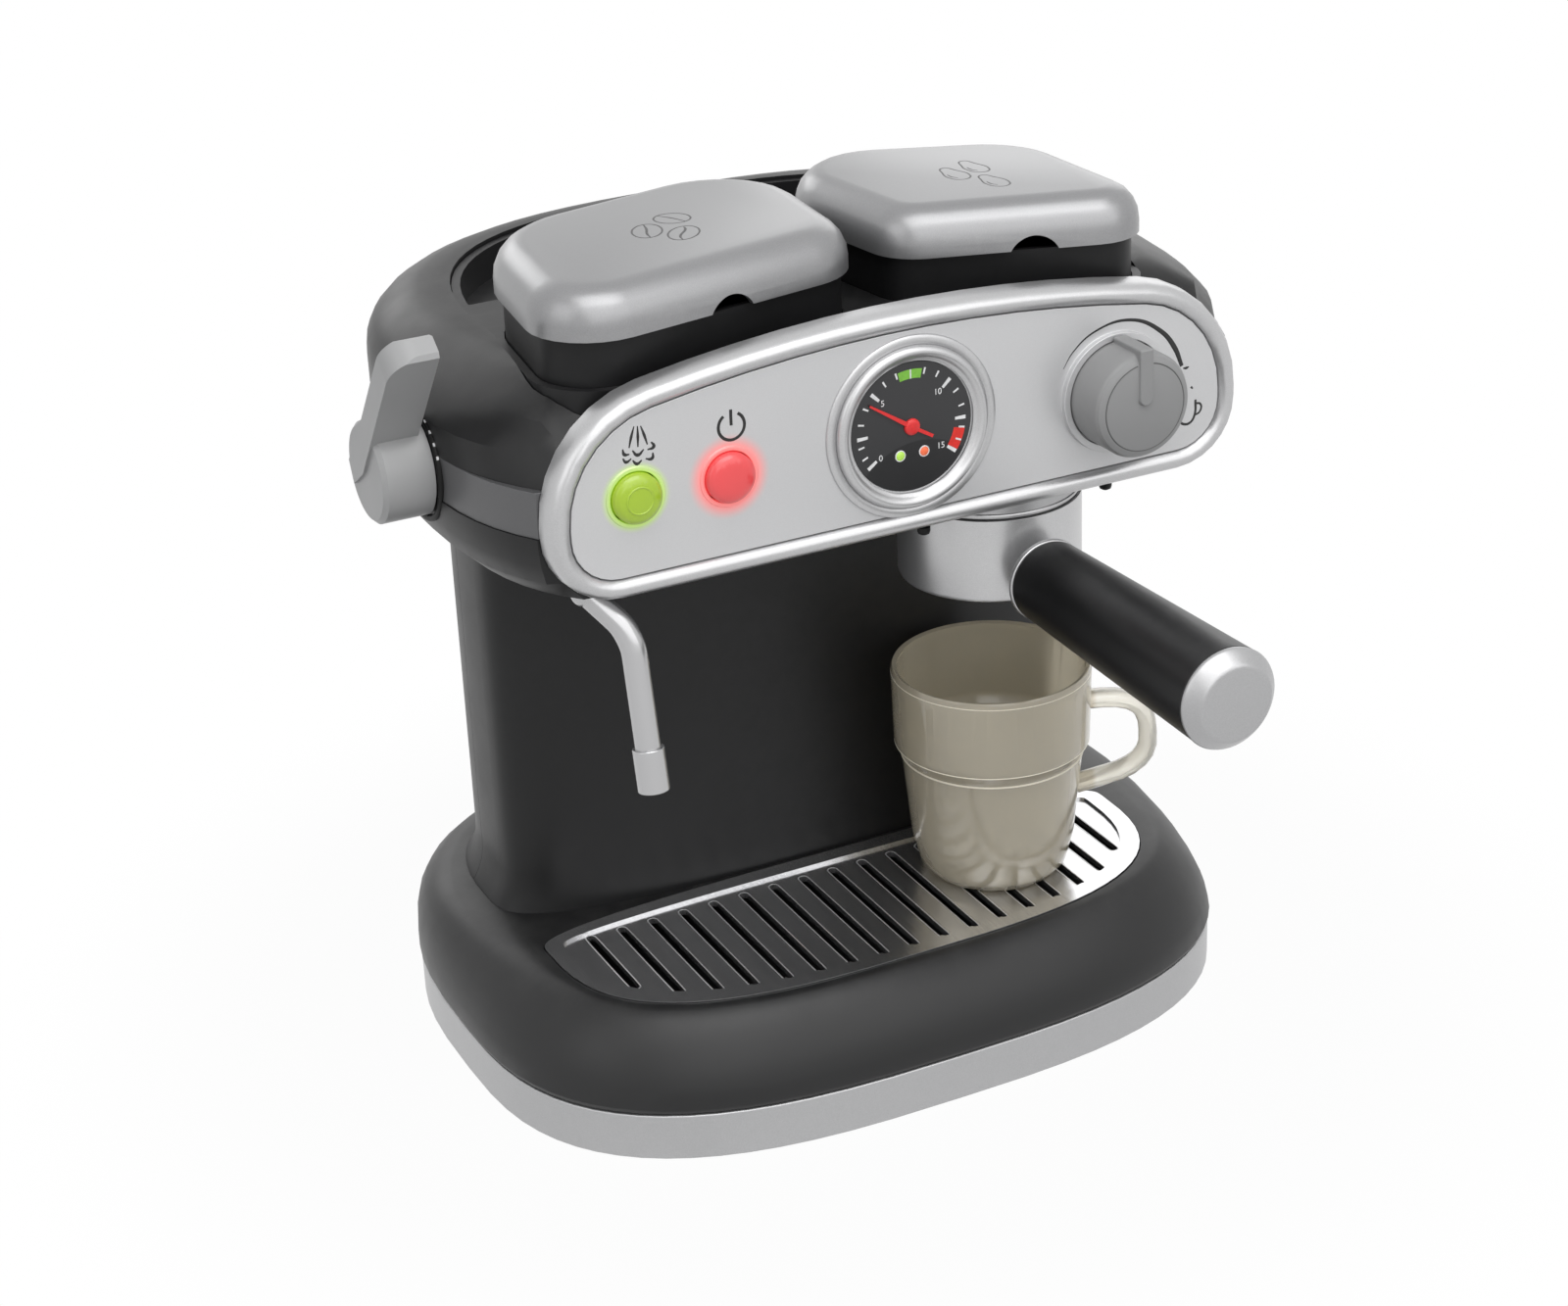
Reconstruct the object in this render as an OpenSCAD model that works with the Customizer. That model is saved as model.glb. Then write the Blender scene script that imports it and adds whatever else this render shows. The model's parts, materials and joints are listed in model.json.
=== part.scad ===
// Toy espresso machine: base with drip tray, column, head with two lidded boxes,
// front panel with gauge, buttons and knob, portafilter, steam wand, side lever, cup.
// Origin: centre of the base outline, on the surface that the machine stands on.
// +X to the right seen from the front, -Y towards the user, +Z up. Millimetres.

/* [Base] */
// Width of the base
base_w = 220; // [200:1:240]
// Reach of the base in front of the origin
base_front = 81.5; // [78:0.5:90]
// Reach of the base behind the origin
base_back = 95; // [90:0.5:110]
// Squareness of the base outline (2 is an ellipse)
base_power = 2.9; // [2.6:0.1:3.6]
// Height of the silver band round the foot of the base
band_h = 13.3; // [9:0.1:15]
// Height of the base's flat top
base_h = 38; // [35:0.5:44]
// Width of the base at the upper end of its rounded shoulder
ridge_w = 184; // [184:1:190]
// Wall of the moulded shells
wall = 2.2; // [1.8:0.1:2.6]
// Gap between pieces that only rest beside each other
gap = 0.3; // [0.25:0.05:0.4]
// Thickness of the base plate
plate_t = 2.2; // [1.8:0.1:3]

/* [Drip tray] */
// Width of the grille
grille_w = 176; // [160:1:178]
// Depth of the grille, front to back
grille_d = 63; // [58:0.5:64]
// Place of the grille's middle, right of the machine's middle
grille_x = -1.4; // [-2:0.1:2]
// Thickness of the grille
grille_t = 2; // [1.6:0.1:2.5]
// Distance from the grille's back edge to the column's face
grille_to_column = 1.4; // [1:0.1:2]
// Distance between two slots
slot_pitch = 9.3; // [8:0.1:11]
// Width of a slot
slot_w = 2.6; // [2:0.1:3.2]
// Width of the grille's raised edge
edge_w = 5; // [4:0.5:6]
// Depth of the slotted field below the raised edge
field_sink = 0.8; // [0.6:0.1:1]
// Depth of the drip tray
tray_d = 20; // [15:0.5:22]

/* [Column] */
// Width of the column
column_w = 177; // [165:1:180]
// Place of the column's flat face, behind the origin
column_face = -1.4; // [-2:0.1:0]
// Place of the column's back, behind the origin
column_back = 77; // [72:0.5:80]
// Clear height of the bay, from the base's top to the head's underside
bay_h = 120; // [115:1:130]
// Size of the soft flare at the column's foot
flare = 3.5; // [2:0.5:4]

/* [Head] */
// Width of the head
head_w = 220; // [212:1:230]
// Place of the head's widest line, in front of the origin
head_mid = 6; // [4:0.5:8]
// Reach of the head's outline in front of its widest line
head_front = 83; // [80:0.5:88]
// Reach of the head behind its widest line
head_back = 105; // [100:0.5:110]
// Squareness of the head outline
head_power = 2.7; // [2.5:0.1:3]
// Height of the lower shell
lower_h = 18; // [16:0.5:20]
// How far the lower shell tucks in at its bottom
tuck_in = 8; // [6:0.5:10]
// Height of the grey band round the head
head_band_h = 12; // [10:0.5:14]
// Height from the grey band to the start of the crown
crown_up = 8; // [6:0.5:10]
// Height of the rounded crown
crown_h = 14; // [12:0.5:16]
// Width of the crown's inner rim
rim_w = 176; // [170:1:180]
// Depth of the tray behind the boxes, below the rim
pit_d = 12; // [10:0.5:14]

/* [Front panel] */
// Width of the front panel
fascia_w = 195.5; // [190:0.5:198]
// Height of the panel at its middle
fascia_h = 59.5; // [58:0.5:62]
// Radius of the arched top edge
arch_r = 400; // [360:5:480]
// Radius of the lower corners
low_corner_r = 18; // [15:0.5:20]
// Radius of the upper corners
top_corner_r = 33; // [30:0.5:35]
// Place of the panel's front in front of the origin
fascia_front = 64; // [63:0.5:66]
// Depth of the bezel
bezel_d = 8; // [7:0.5:9]
// Width of the bezel
bezel_w = 5.6; // [5:0.1:6.5]
// Depth of the panel's face behind the bezel's crest
panel_sink = 1.6; // [1:0.1:2]
// Thickness of the panel
panel_t = 2; // [1.6:0.1:2.4]

/* [Gauge] */
// Height of the gauge above the panel's lower edge
gauge_up = 28.6; // [27:0.1:30]
// Radius of the printed dial
dial_r = 18; // [16:0.5:19]
// Width of the silver ring round the dial
ring_w = 3.4; // [2.5:0.1:4]
// How far the ring stands out of the panel
ring_out = 2.4; // [1.5:0.1:3]

/* [Knob] */
// Distance of the knob from the panel's middle
knob_x = 59.7; // [56:0.1:63]
// Height of the knob and the buttons above the panel's lower edge
control_up = 26; // [25:0.1:28]
// Radius of the knob
knob_r = 14; // [12:0.5:15]
// Length of the knob
knob_l = 13.8; // [10:0.2:15]
// Radius of the knob's shaft
shaft_r = 3; // [2.5:0.1:3.5]
// Running fit between a shaft and its bearing
fit = 0.05; // [0.03:0.01:0.08]

/* [Buttons] */
// Distance of the green button from the panel's middle
green_x = -75.5; // [-77:0.1:-74]
// Distance of the red button from the panel's middle
red_x = -50.6; // [-53:0.1:-48]
// Radius of a button
button_r = 6.4; // [5.5:0.1:7]
// How far a button stands out of the panel
button_out = 3; // [2.5:0.1:4]
// Travel of a button
button_travel = 2; // [1.5:0.1:2.2]

/* [Side lever] */
// Radius of the lever's hub
hub_r = 13.2; // [12:0.1:15]
// Length of the hub
hub_l = 13.6; // [12:0.1:15]
// Length of the blade from the hub's axis
blade_l = 48; // [44:0.5:54]
// Width of the blade
blade_w = 12.6; // [11:0.1:14]
// Thickness of the blade
blade_t = 7.3; // [6:0.1:8]
// Lean of the blade towards the user, from upright
blade_lean = 38.5; // [30:0.5:45]

/* [Group and portafilter] */
// Distance of the group from the machine's middle
group_x = 40; // [36:0.5:44]
// Place of the group's axis in front of the origin
group_front = 31; // [30:0.5:33]
// Radius of the portafilter's bowl
bowl_r = 24.8; // [23:0.1:26]
// Height of the bowl
bowl_h = 23.5; // [22:0.5:25]
// Height of the group ring above the bowl
group_h = 6.3; // [5:0.1:7]
// Wall of the bowl
bowl_wall = 2; // [1.6:0.1:2.4]
// Length of the portafilter from the bowl's axis to the end of its handle
handle_l = 117.4; // [105:0.2:120]
// Radius of the handle where it starts
handle_r = 11.1; // [10:0.1:12]
// Radius of the handle at its cap
handle_end_r = 13.2; // [12:0.1:14]
// Length of the silver end cap
cap_l = 4.4; // [3.6:0.2:8]
// Height of the handle's axis above the bowl's bottom
handle_up = 7.4; // [7:0.1:9]

/* [Steam wand] */
// Distance of the wand's joint to the left of the machine's middle
wand_x = 85.5; // [84:0.5:86]
// Place of the wand's joint in front of the origin
wand_front = 50; // [49:0.5:50]
// Radius of the wand's tube
wand_r = 3.3; // [3:0.1:3.6]
// Length of the wand's straight part
wand_l = 41; // [36:1:46]
// Length of the sleeve on the wand's tip
sleeve_l = 11.5; // [10:0.5:14]

/* [Boxes and lids] */
// Height of a lid
lid_h = 12.5; // [11:0.5:14]
// Radius of a lid's upper edge
lid_round = 8.4; // [7:0.1:9]
// Wall of the lids and boxes
lid_wall = 1.8; // [1.5:0.1:2]
// Height of a lid's lower edge above the crown's rim
lid_up = 11; // [11:0.5:13]
// Depth of a box below its lid
box_d = 25; // [22:0.5:27]
// Radius of the finger notch in a lid
notch_r = 7; // [6:0.5:8]
// Height of the finger notch
notch_h = 3.8; // [3:0.1:4.5]
// Radius of the lids' hinge pins
pin_r = 1.2; // [1:0.1:1.4]

/* [Cup] */
// Height of the cup
cup_h = 62.5; // [58:0.5:64]
// Radius of the cup's mouth
cup_r = 27.6; // [26:0.1:28]
// Wall of the cup
cup_wall = 1.6; // [1.4:0.1:2]

/* [Hidden] */
$fn = 64;
around = 72;
side_count = 12;

// Heights, from the floor up
head_z = base_h + bay_h;
band_z = head_z + lower_h;
upper_z = band_z + head_band_h;
crown_z = upper_z + crown_up;
rim_z = crown_z + crown_h;
lid_z = rim_z + lid_up;
box_z = lid_z - box_d;
deck_z = rim_z - 1;
pit_z = rim_z - pit_d;

// ---- outlines ----------------------------------------------------------------
function signed_pow(v, e) = sign(v) * pow(abs(v), e);

// Closed outline with a half width, a front and a back reach; nothing in front of cut
function outline(hw, front, back, mid, power, cut = -500, back_power) = [
    for (i = [0:around - 1])
        let (a = 360 * i / around, s = sin(a),
             e = 2 / (s < 0 || is_undef(back_power) ? power : back_power))
            [hw * signed_pow(cos(a), e),
             max(cut, mid + (s < 0 ? front : back) * signed_pow(s, e))]
];

function at_height(points, z) = [for (p = points) [p[0], p[1], z]];

function base_outline(inset) =
    outline(base_w / 2 - inset, base_front - inset, base_back - inset, 0, base_power);

// Upper end of the base's rounded shoulder, rounder towards the back
grille_back = column_face - grille_to_column;
ridge_mid = -11;
ridge_front = grille_d - grille_back + 1.6 + ridge_mid;
ridge_back = base_back - 12.5 - ridge_mid;
function ridge_outline(inset) =
    outline(ridge_w / 2 - inset, ridge_front - inset, ridge_back - inset, ridge_mid,
            base_power + 0.1, back_power = base_power - 0.3);
function blend(p, q, t) = [for (i = [0:len(p) - 1]) p[i] * (1 - t) + q[i] * t];

// The column's flat front face takes the front of a squarish outline
column_mid = column_face + 22.5;
column_power = 2.9;
function column_outline(inset, foot = 0) =
    outline(column_w / 2 - inset + foot, 22.5 - inset, column_back - column_mid - inset + foot,
            column_mid, column_power);

head_cut = -fascia_front + bezel_d;
function head_outline(inset, front_wall = 0) =
    outline(head_w / 2 - inset, head_front - inset, head_back - inset, -head_mid,
            head_power, head_cut + front_wall);

// The crown's rim: squarer towards the front, rounder towards the back
rim_front = head_cut + 11;
rim_back = head_back - head_mid - 10.5;
rim_mid = -4;
function rim_outline(inset) =
    outline(rim_w / 2 - inset, rim_mid - rim_front - inset, rim_back - rim_mid - inset,
            rim_mid, 5.5, back_power = head_power);

// Drip tray: straight back edge, arched front
grille_mid = grille_back - 11;
function grille_outline(inset) = [
    for (p = outline(grille_w / 2 - inset, grille_d - 11 - inset, 11 - inset, grille_mid, 3))
        [p[0] + grille_x, p[1]]
];

// Front panel: flat bottom, round corners, arched top; all corners keep their centres
fascia_z = head_z + 0.5;
arch_centre_z = fascia_z + fascia_h - arch_r;
low_x = fascia_w / 2 - low_corner_r;
top_x = fascia_w / 2 - top_corner_r;
top_z = arch_centre_z + sqrt(pow(arch_r - top_corner_r, 2) - pow(top_x, 2));
arch_angle = atan2(top_z - arch_centre_z, top_x);
corner_steps = 7;
arch_steps = 9;
function arc_points(cx, cy, r, from, to, steps) = [
    for (i = [0:steps]) let (a = from + (to - from) * i / steps)
        [cx + r * cos(a), cy + r * sin(a)]
];
fascia_x = -0.7;
function fascia_outline(inset) = [for (p = fascia_corners(inset)) p + [fascia_x, 0]];
function fascia_corners(inset) = concat(
    arc_points(low_x, fascia_z + low_corner_r, low_corner_r - inset, -90, 0, corner_steps),
    arc_points(top_x, top_z, top_corner_r - inset, 0, arch_angle, corner_steps),
    arc_points(0, arch_centre_z, arch_r - inset, arch_angle + 2, 178 - arch_angle, arch_steps),
    arc_points(-top_x, top_z, top_corner_r - inset, 180 - arch_angle, 180, corner_steps),
    arc_points(-low_x, fascia_z + low_corner_r, low_corner_r - inset, 180, 270, corner_steps)
);

// Outline of a box: four corner circles [x, y, r], counter-clockwise, joined by tangents
box_steps = 8;
function tangent_angle(p, q) =
    atan2(q[1] - p[1], q[0] - p[0]) - acos((p[2] - q[2]) / norm([q[0] - p[0], q[1] - p[1]]));
function turned(from, to) = to < from ? to + 360 : to;
function corner_outline(corners, inset) = [
    for (k = [0:3])
        let (p = corners[(k + 3) % 4], c = corners[k], q = corners[(k + 1) % 4],
             from = tangent_angle(p, c), to = turned(from, tangent_angle(c, q)))
            each arc_points(c[0], c[1], c[2] - inset, from, to, box_steps)
];

// ---- solids from outlines ----------------------------------------------------
// Skin over a row of rings with the same number of points; capped, or closed on itself
module skin(rings, closed = false) {
    n = len(rings[0]);
    m = len(rings);
    last = closed ? m - 1 : m - 2;
    sides = [
        for (k = [0:last]) for (i = [0:n - 1])
            let (a = k * n + i, b = k * n + (i + 1) % n,
                 c = ((k + 1) % m) * n + i, d = ((k + 1) % m) * n + (i + 1) % n)
                each [[a, c, d], [a, d, b]]
    ];
    caps = closed ? [] : [[for (i = [0:n - 1]) i], [for (i = [n - 1:-1:0]) (m - 1) * n + i]];
    polyhedron(points = [for (r = rings) each r], faces = concat(sides, caps), convexity = 6);
}

module slab(points, z, h) {
    translate([0, 0, z]) linear_extrude(h) polygon(points);
}

// A wall of even height between two outlines
module ring_wall(outer, inner, z, h) {
    translate([0, 0, z]) linear_extrude(h) difference() {
        polygon(outer);
        polygon(inner);
    }
}

// A plate across the machine: front face at y, thickness t towards the back
module upright(y, t) {
    translate([0, y + t, 0]) rotate([90, 0, 0]) linear_extrude(t) children();
}

// A round bar along Y from y towards the user
module bar_y(x, y, z, r, l, r_end) {
    translate([x, y, z]) rotate([90, 0, 0]) cylinder(r1 = r, r2 = is_undef(r_end) ? r : r_end, h = l);
}

// A round bar along X from x to the left
module bar_x(x, y, z, r, l) {
    translate([x, y, z]) rotate([0, -90, 0]) cylinder(r = r, h = l);
}

// Round tube along a list of points
function unit(v) = v / norm(v);
function along(path, i) =
    unit(path[min(i + 1, len(path) - 1)] - path[max(i - 1, 0)]);
function tube_ring(centre, t, wide, high, side) =
    let (u = unit(cross(t, side)), w = cross(t, u))
        [for (k = [0:side_count - 1]) let (a = 360 * k / side_count)
            centre + u * high * cos(a) + w * wide * sin(a)];
module tube(path, wide, high, side) {
    skin([for (i = [0:len(path) - 1]) tube_ring(path[i], along(path, i), wide, high, side)]);
}
function bend(a, b, c, steps) = [
    for (i = [0:steps]) let (t = i / steps)
        a * (1 - t) * (1 - t) + b * 2 * t * (1 - t) + c * t * t
];

// ---- base --------------------------------------------------------------------
module base_band() {
    color([0.66, 0.66, 0.67])
        ring_wall(base_outline(0), base_outline(wall), 0, band_h);
}

cover_z = band_h;
bulge = 0.4;
shoulder_z = cover_z + 2;
shoulder_h = base_h - shoulder_z;
shoulder_steps = 7;
// How far a rounded edge has come in at the share s of its height; fuller with a larger e
function edge_in(s, e) = 1 - pow(1 - pow(s, e), 1 / e);
// Rises evenly from 0 in front to 1 at the back
function from_front(y) = let (t = min(1, max(0, (y + 40) / 90))) t * t * (3 - 2 * t);
// The shoulder is soft in front and full at the back
function shoulder_ring(s, inset) =
    let (low = base_outline(inset - bulge), top = ridge_outline(inset))
        [for (i = [0:around - 1])
            let (t = edge_in(s, 1.5 + 2 * from_front(low[i][1])))
                low[i] * (1 - t) + top[i] * t];
module base_cover() {
    outer = concat(
        [at_height(base_outline(0.8), cover_z)],
        [at_height(base_outline(0), cover_z + 0.8)],
        [for (i = [0:shoulder_steps]) let (s = sin(90 * i / shoulder_steps))
            at_height(shoulder_ring(s, 0), shoulder_z + shoulder_h * s)]
    );
    inner = concat(
        [for (s = [1, 0.9, 0.7, 0.4])
            at_height(shoulder_ring(s, wall), shoulder_z + (shoulder_h - wall) * s)],
        [at_height(base_outline(wall), cover_z)]
    );
    color([0.13, 0.13, 0.13]) difference() {
        union() {
            skin(concat(inner, outer));
            for (p = screw_spots) translate([p[0], p[1], plate_t]) difference() {
                cylinder(r = boss_r, h = base_h - p[2] - plate_t);
                translate([0, 0, -1]) cylinder(r = screw_r, h = 10);
            }
        }
        slab(grille_outline(-gap), base_h - wall - 1, wall + 2);
    }
}

plate_inset = wall + gap;
boss_r = 4;
screw_r = 1.6;
screw_head_r = 3;
screw_head_t = 1.2;
// Each spot's x, y and the distance of its boss's end below the base's top
screw_spots = [[-89.5, -36, 3.4], [89.5, -36, 3.4], [-62, 62, 1.1], [62, 62, 1.1]];
battery_r = 7.1;
battery_l = 50;
battery_pitch = 15.2;
bay_w = battery_pitch * 3 + 2;
bay_l = battery_l + 8;
bay_y = 38;
bay_top = 19;
door_w = bay_w + 6;
door_l = bay_l + 6;
module base_plate() {
    color([0.12, 0.12, 0.12]) difference() {
        union() {
            slab(base_outline(plate_inset), 0, plate_t);
            for (x = [-50, 50]) for (y = [-14, -46])
                translate([x, y, 0]) cylinder(r = 3, h = tray_top - tray_d);
            translate([-bay_w / 2 - wall, bay_y - bay_l / 2 - wall, 0])
                cube([bay_w + 2 * wall, bay_l + 2 * wall, bay_top + wall]);
        }
        translate([-bay_w / 2, bay_y - bay_l / 2, -1])
            cube([bay_w, bay_l, bay_top + 1]);
        translate([-door_w / 2, bay_y - door_l / 2, -1])
            cube([door_w, door_l, 1 + door_t + gap]);
        for (p = screw_spots) translate([p[0], p[1], -1]) {
            cylinder(r = screw_r, h = 12);
            cylinder(r = screw_head_r + gap, h = 1 + screw_head_t);
        }
    }
}

module screw(l) {
    cylinder(r = screw_head_r, h = screw_head_t);
    cylinder(r = screw_r, h = l);
}

module base_screws() {
    color([0.7, 0.7, 0.72]) for (p = screw_spots) translate([p[0], p[1], 0]) screw(8.5);
}

door_t = 1.6;
module battery_door() {
    color([0.14, 0.14, 0.14]) difference() {
        translate([-door_w / 2 + gap, bay_y - door_l / 2 + gap, 0])
            cube([door_w - 2 * gap, door_l - 2 * gap, door_t]);
        translate([0, bay_y + door_l / 2 - 2.4, -1]) cylinder(r = 1.3, h = 4);
    }
}

module door_screw() {
    color([0.7, 0.7, 0.72]) translate([0, bay_y + door_l / 2 - 2.4, 0]) {
        cylinder(r = 1.3, h = 1.8);
    }
}

module batteries() {
    color([0.75, 0.55, 0.2]) for (k = [-1:1])
        translate([k * battery_pitch, bay_y + 1, door_t + 0.6 + battery_r])
            rotate([90, 0, 0]) {
                translate([0, 0, -battery_l / 2]) cylinder(r = battery_r, h = battery_l - 1.5);
                translate([0, 0, battery_l / 2 - 1.5]) cylinder(r = 2.6, h = 1.5);
            }
}

module battery_contacts() {
    contact_h = 2 * battery_r - 2;
    color([0.75, 0.75, 0.7]) for (k = [-1:1]) for (e = [-1, 1])
        translate([k * battery_pitch - 5, bay_y + e * (bay_l / 2 - 0.4) - 0.4, door_t + 1.6])
            cube([10, 0.8, contact_h]);
}

// ---- drip tray ---------------------------------------------------------------
tray_top = base_h - grille_t;
module drip_tray() {
    color([0.1, 0.1, 0.1]) {
        slab(grille_outline(wall + gap), tray_top - tray_d, wall);
        ring_wall(grille_outline(wall + gap), grille_outline(2 * wall + gap),
                  tray_top - tray_d, tray_d);
    }
}

slot_margin = 5.5;
slot_count = floor((grille_w / 2 - slot_margin - 2) / slot_pitch);
slot_back = grille_back - 8.2;
grille_proud = 0.4;
// Reach of the slots in front of the grille's middle line, at a place across it
function slot_reach(x) = (grille_d - 11 - slot_margin + 1.3)
    * pow(1 - pow(x / (grille_w / 2 - slot_margin), 3), 1 / 3);
module slot(x) {
    half = slot_w / 2;
    front = grille_mid - slot_reach(abs(x) + half) + half;
    translate([grille_x + x, 0, base_h - grille_t - 1]) {
        translate([-half, front, 0]) cube([slot_w, slot_back - half - front, grille_t + 2]);
        for (y = [front, slot_back - half])
            translate([0, y, 0]) cylinder(r = half, h = grille_t + 2, $fn = 24);
    }
}
module drip_grille() {
    color([0.72, 0.72, 0.73]) difference() {
        slab(grille_outline(0), base_h - grille_t, grille_t + grille_proud);
        slab(grille_outline(edge_w), base_h + grille_proud - field_sink, field_sink + 1);
        for (k = [-slot_count:slot_count]) slot(k * slot_pitch);
    }
}

// ---- column ------------------------------------------------------------------
split_y = column_face + 36;
function flare_at(t) = flare * pow(1 - t, 2.4);
flare_h = 12;
module column_shell() {
    rings = concat(
        [for (i = [0:4]) let (t = i / 4)
            at_height(column_outline(0, flare_at(t)), base_h + flare_h * t)],
        [at_height(column_outline(0), head_z)],
        [at_height(column_outline(wall), head_z)],
        [at_height(column_outline(wall), base_h)]
    );
    skin(rings, true);
}
rear_screw_z = [base_h + 16, head_z - 14];
rear_screw_x = 52;
post_back = 0.7;
rear_y = column_mid + (column_back - column_mid)
    * pow(1 - pow(rear_screw_x / (column_w / 2), column_power), 1 / column_power);
// The front shell's posts end inside the rear cover's short bosses
boss_l = 2.4;
post_y = rear_y - wall - boss_l;
speaker_z = base_h + 78;
speaker_r = 14;
module rear_spots(y) {
    for (z = rear_screw_z) for (x = [-rear_screw_x, rear_screw_x]) translate([x, y, z])
        rotate([90, 0, 0]) children();
}
module column_front() {
    color([0.13, 0.13, 0.13]) {
        intersection() {
            column_shell();
            translate([-base_w, column_face - 50, 0])
                cube([2 * base_w, 50 + split_y - column_face, 300]);
        }
        rear_spots(post_y) difference() {
            cylinder(r = boss_r, h = post_y - wall - column_face - post_back);
            translate([0, 0, -1]) cylinder(r = screw_r, h = 10);
        }
    }
}
module rear_cover() {
    color([0.14, 0.14, 0.14]) difference() {
        union() {
            intersection() {
                column_shell();
                translate([-base_w, split_y + gap / 2, 0]) cube([2 * base_w, 100, 300]);
            }
            rear_spots(rear_y - 1) cylinder(r = boss_r, h = wall + boss_l - 1 - gap);
        }
        rear_spots(rear_y + 5) {
            cylinder(r = screw_head_r + gap, h = 5 + screw_head_t);
            cylinder(r = screw_r, h = 12);
        }
        for (a = [0:60:300]) for (r = [4, 8])
            bar_y(r * cos(a), column_back + 5, speaker_z + r * sin(a), 1.2, 12);
    }
}

module rear_screws() {
    color([0.7, 0.7, 0.72]) rear_spots(rear_y) screw(8);
}

module speaker() {
    color([0.25, 0.25, 0.27]) bar_y(0, column_back - wall - 0.2, speaker_z, speaker_r, 4);
    color([0.6, 0.6, 0.62]) bar_y(0, column_back - wall - 4.2, speaker_z, speaker_r * 0.55, 5);
}

// ---- head --------------------------------------------------------------------
// Room behind the front panel for the knob's valve and the buttons' board
window_in = 8;
module window() {
    translate([-fascia_w / 2 + window_in, head_cut - 1, fascia_z + window_in])
        cube([fascia_w - 2 * window_in, wall + 4, crown_z - 1 - fascia_z - window_in]);
}
tuck_steps = 5;
function tuck(t) = tuck_in * (1 - sqrt(1 - t * t));
module head_lower() {
    outer = [for (i = [0:tuck_steps]) let (t = 1 - sin(90 * i / tuck_steps))
        at_height(head_outline(tuck(t)), band_z - lower_h * t)];
    inner = [for (t = [0, 0.45, 0.88])
        at_height(head_outline(tuck(t) + wall, wall), band_z - lower_h * t)];
    color([0.12, 0.12, 0.12]) difference() {
        skin(concat(outer, inner));
        translate([group_x, -group_front, head_z - 1]) cylinder(r = 9, h = 6);
        translate([-wand_x, -wand_front, head_z - 1]) cylinder(r = socket_r + gap, h = socket_h + 2);
        bar_x(-head_w / 2 + 12, -head_mid, hub_z, bushing_r + gap, 30);
        window();
    }
}

band_set = 0.4;
hub_z = band_z + head_band_h / 2;
bushing_r = 6;
module head_band() {
    color([0.5, 0.5, 0.51]) difference() {
        ring_wall(head_outline(band_set), head_outline(wall + band_set, wall), band_z, head_band_h);
        bar_x(-head_w / 2 + 12, -head_mid, hub_z, bushing_r + gap, 30);
        window();
    }
}

crown_steps = 6;
// How full the crown's curve is: nearly straight in front, full at the back
function fullness(y) = 1.2 + from_front(y - 5);
function crown_ring(s) =
    let (low = head_outline(0), top = rim_outline(0))
        [for (i = [0:around - 1]) let (t = edge_in(s, fullness(low[i][1])))
            low[i] * (1 - t) + top[i] * t];
// Half width of the front panel at a height in its upper corners
function panel_half(z) =
    top_x + fascia_x + sqrt(pow(top_corner_r, 2) - pow(min(top_corner_r, max(0, z - top_z)), 2));
// Draws a ring in towards the front, so that it stays behind the panel's round corners
narrow_reach = 46;
function narrowed(ring, z) =
    let (front_half = max([for (p = ring) p[1] < head_cut + 4 ? p[0] : 0]),
         excess = max(0, front_half + 0.6 - panel_half(z)))
        [for (p = ring) let (t = min(1, max(0, (p[1] - head_cut) / narrow_reach)))
            [p[0] * (1 - excess / head_w * 2 * (1 - t) * (1 - t)), p[1]]];
module head_upper() {
    outer = concat(
        [at_height(narrowed(head_outline(0), upper_z), upper_z)],
        [for (i = [0:crown_steps]) let (s = sin(90 * i / crown_steps), z = crown_z + crown_h * s)
            at_height(narrowed(crown_ring(s), z), z)]
    );
    inner = concat(
        [at_height(rim_outline(wall), rim_z)],
        [at_height(rim_outline(wall), crown_z + crown_h * 0.6)],
        [at_height(narrowed(head_outline(wall, wall), crown_z + crown_h * 0.4), crown_z - 1)],
        [at_height(head_outline(wall, wall), upper_z)]
    );
    color([0.2, 0.2, 0.2]) {
        difference() {
            skin(concat(outer, inner), true);
            window();
            translate([0, 0, crown_z - 1]) linear_extrude(40) pockets(pocket_inset - wall - gap);
        }
        difference() {
            upright(head_cut, wall) polygon(fascia_outline(1.2));
            translate([-fascia_w, head_cut - 1, head_z])
                cube([2 * fascia_w, 10, crown_z - 0.5 - head_z]);
        }
    }
}

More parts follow.
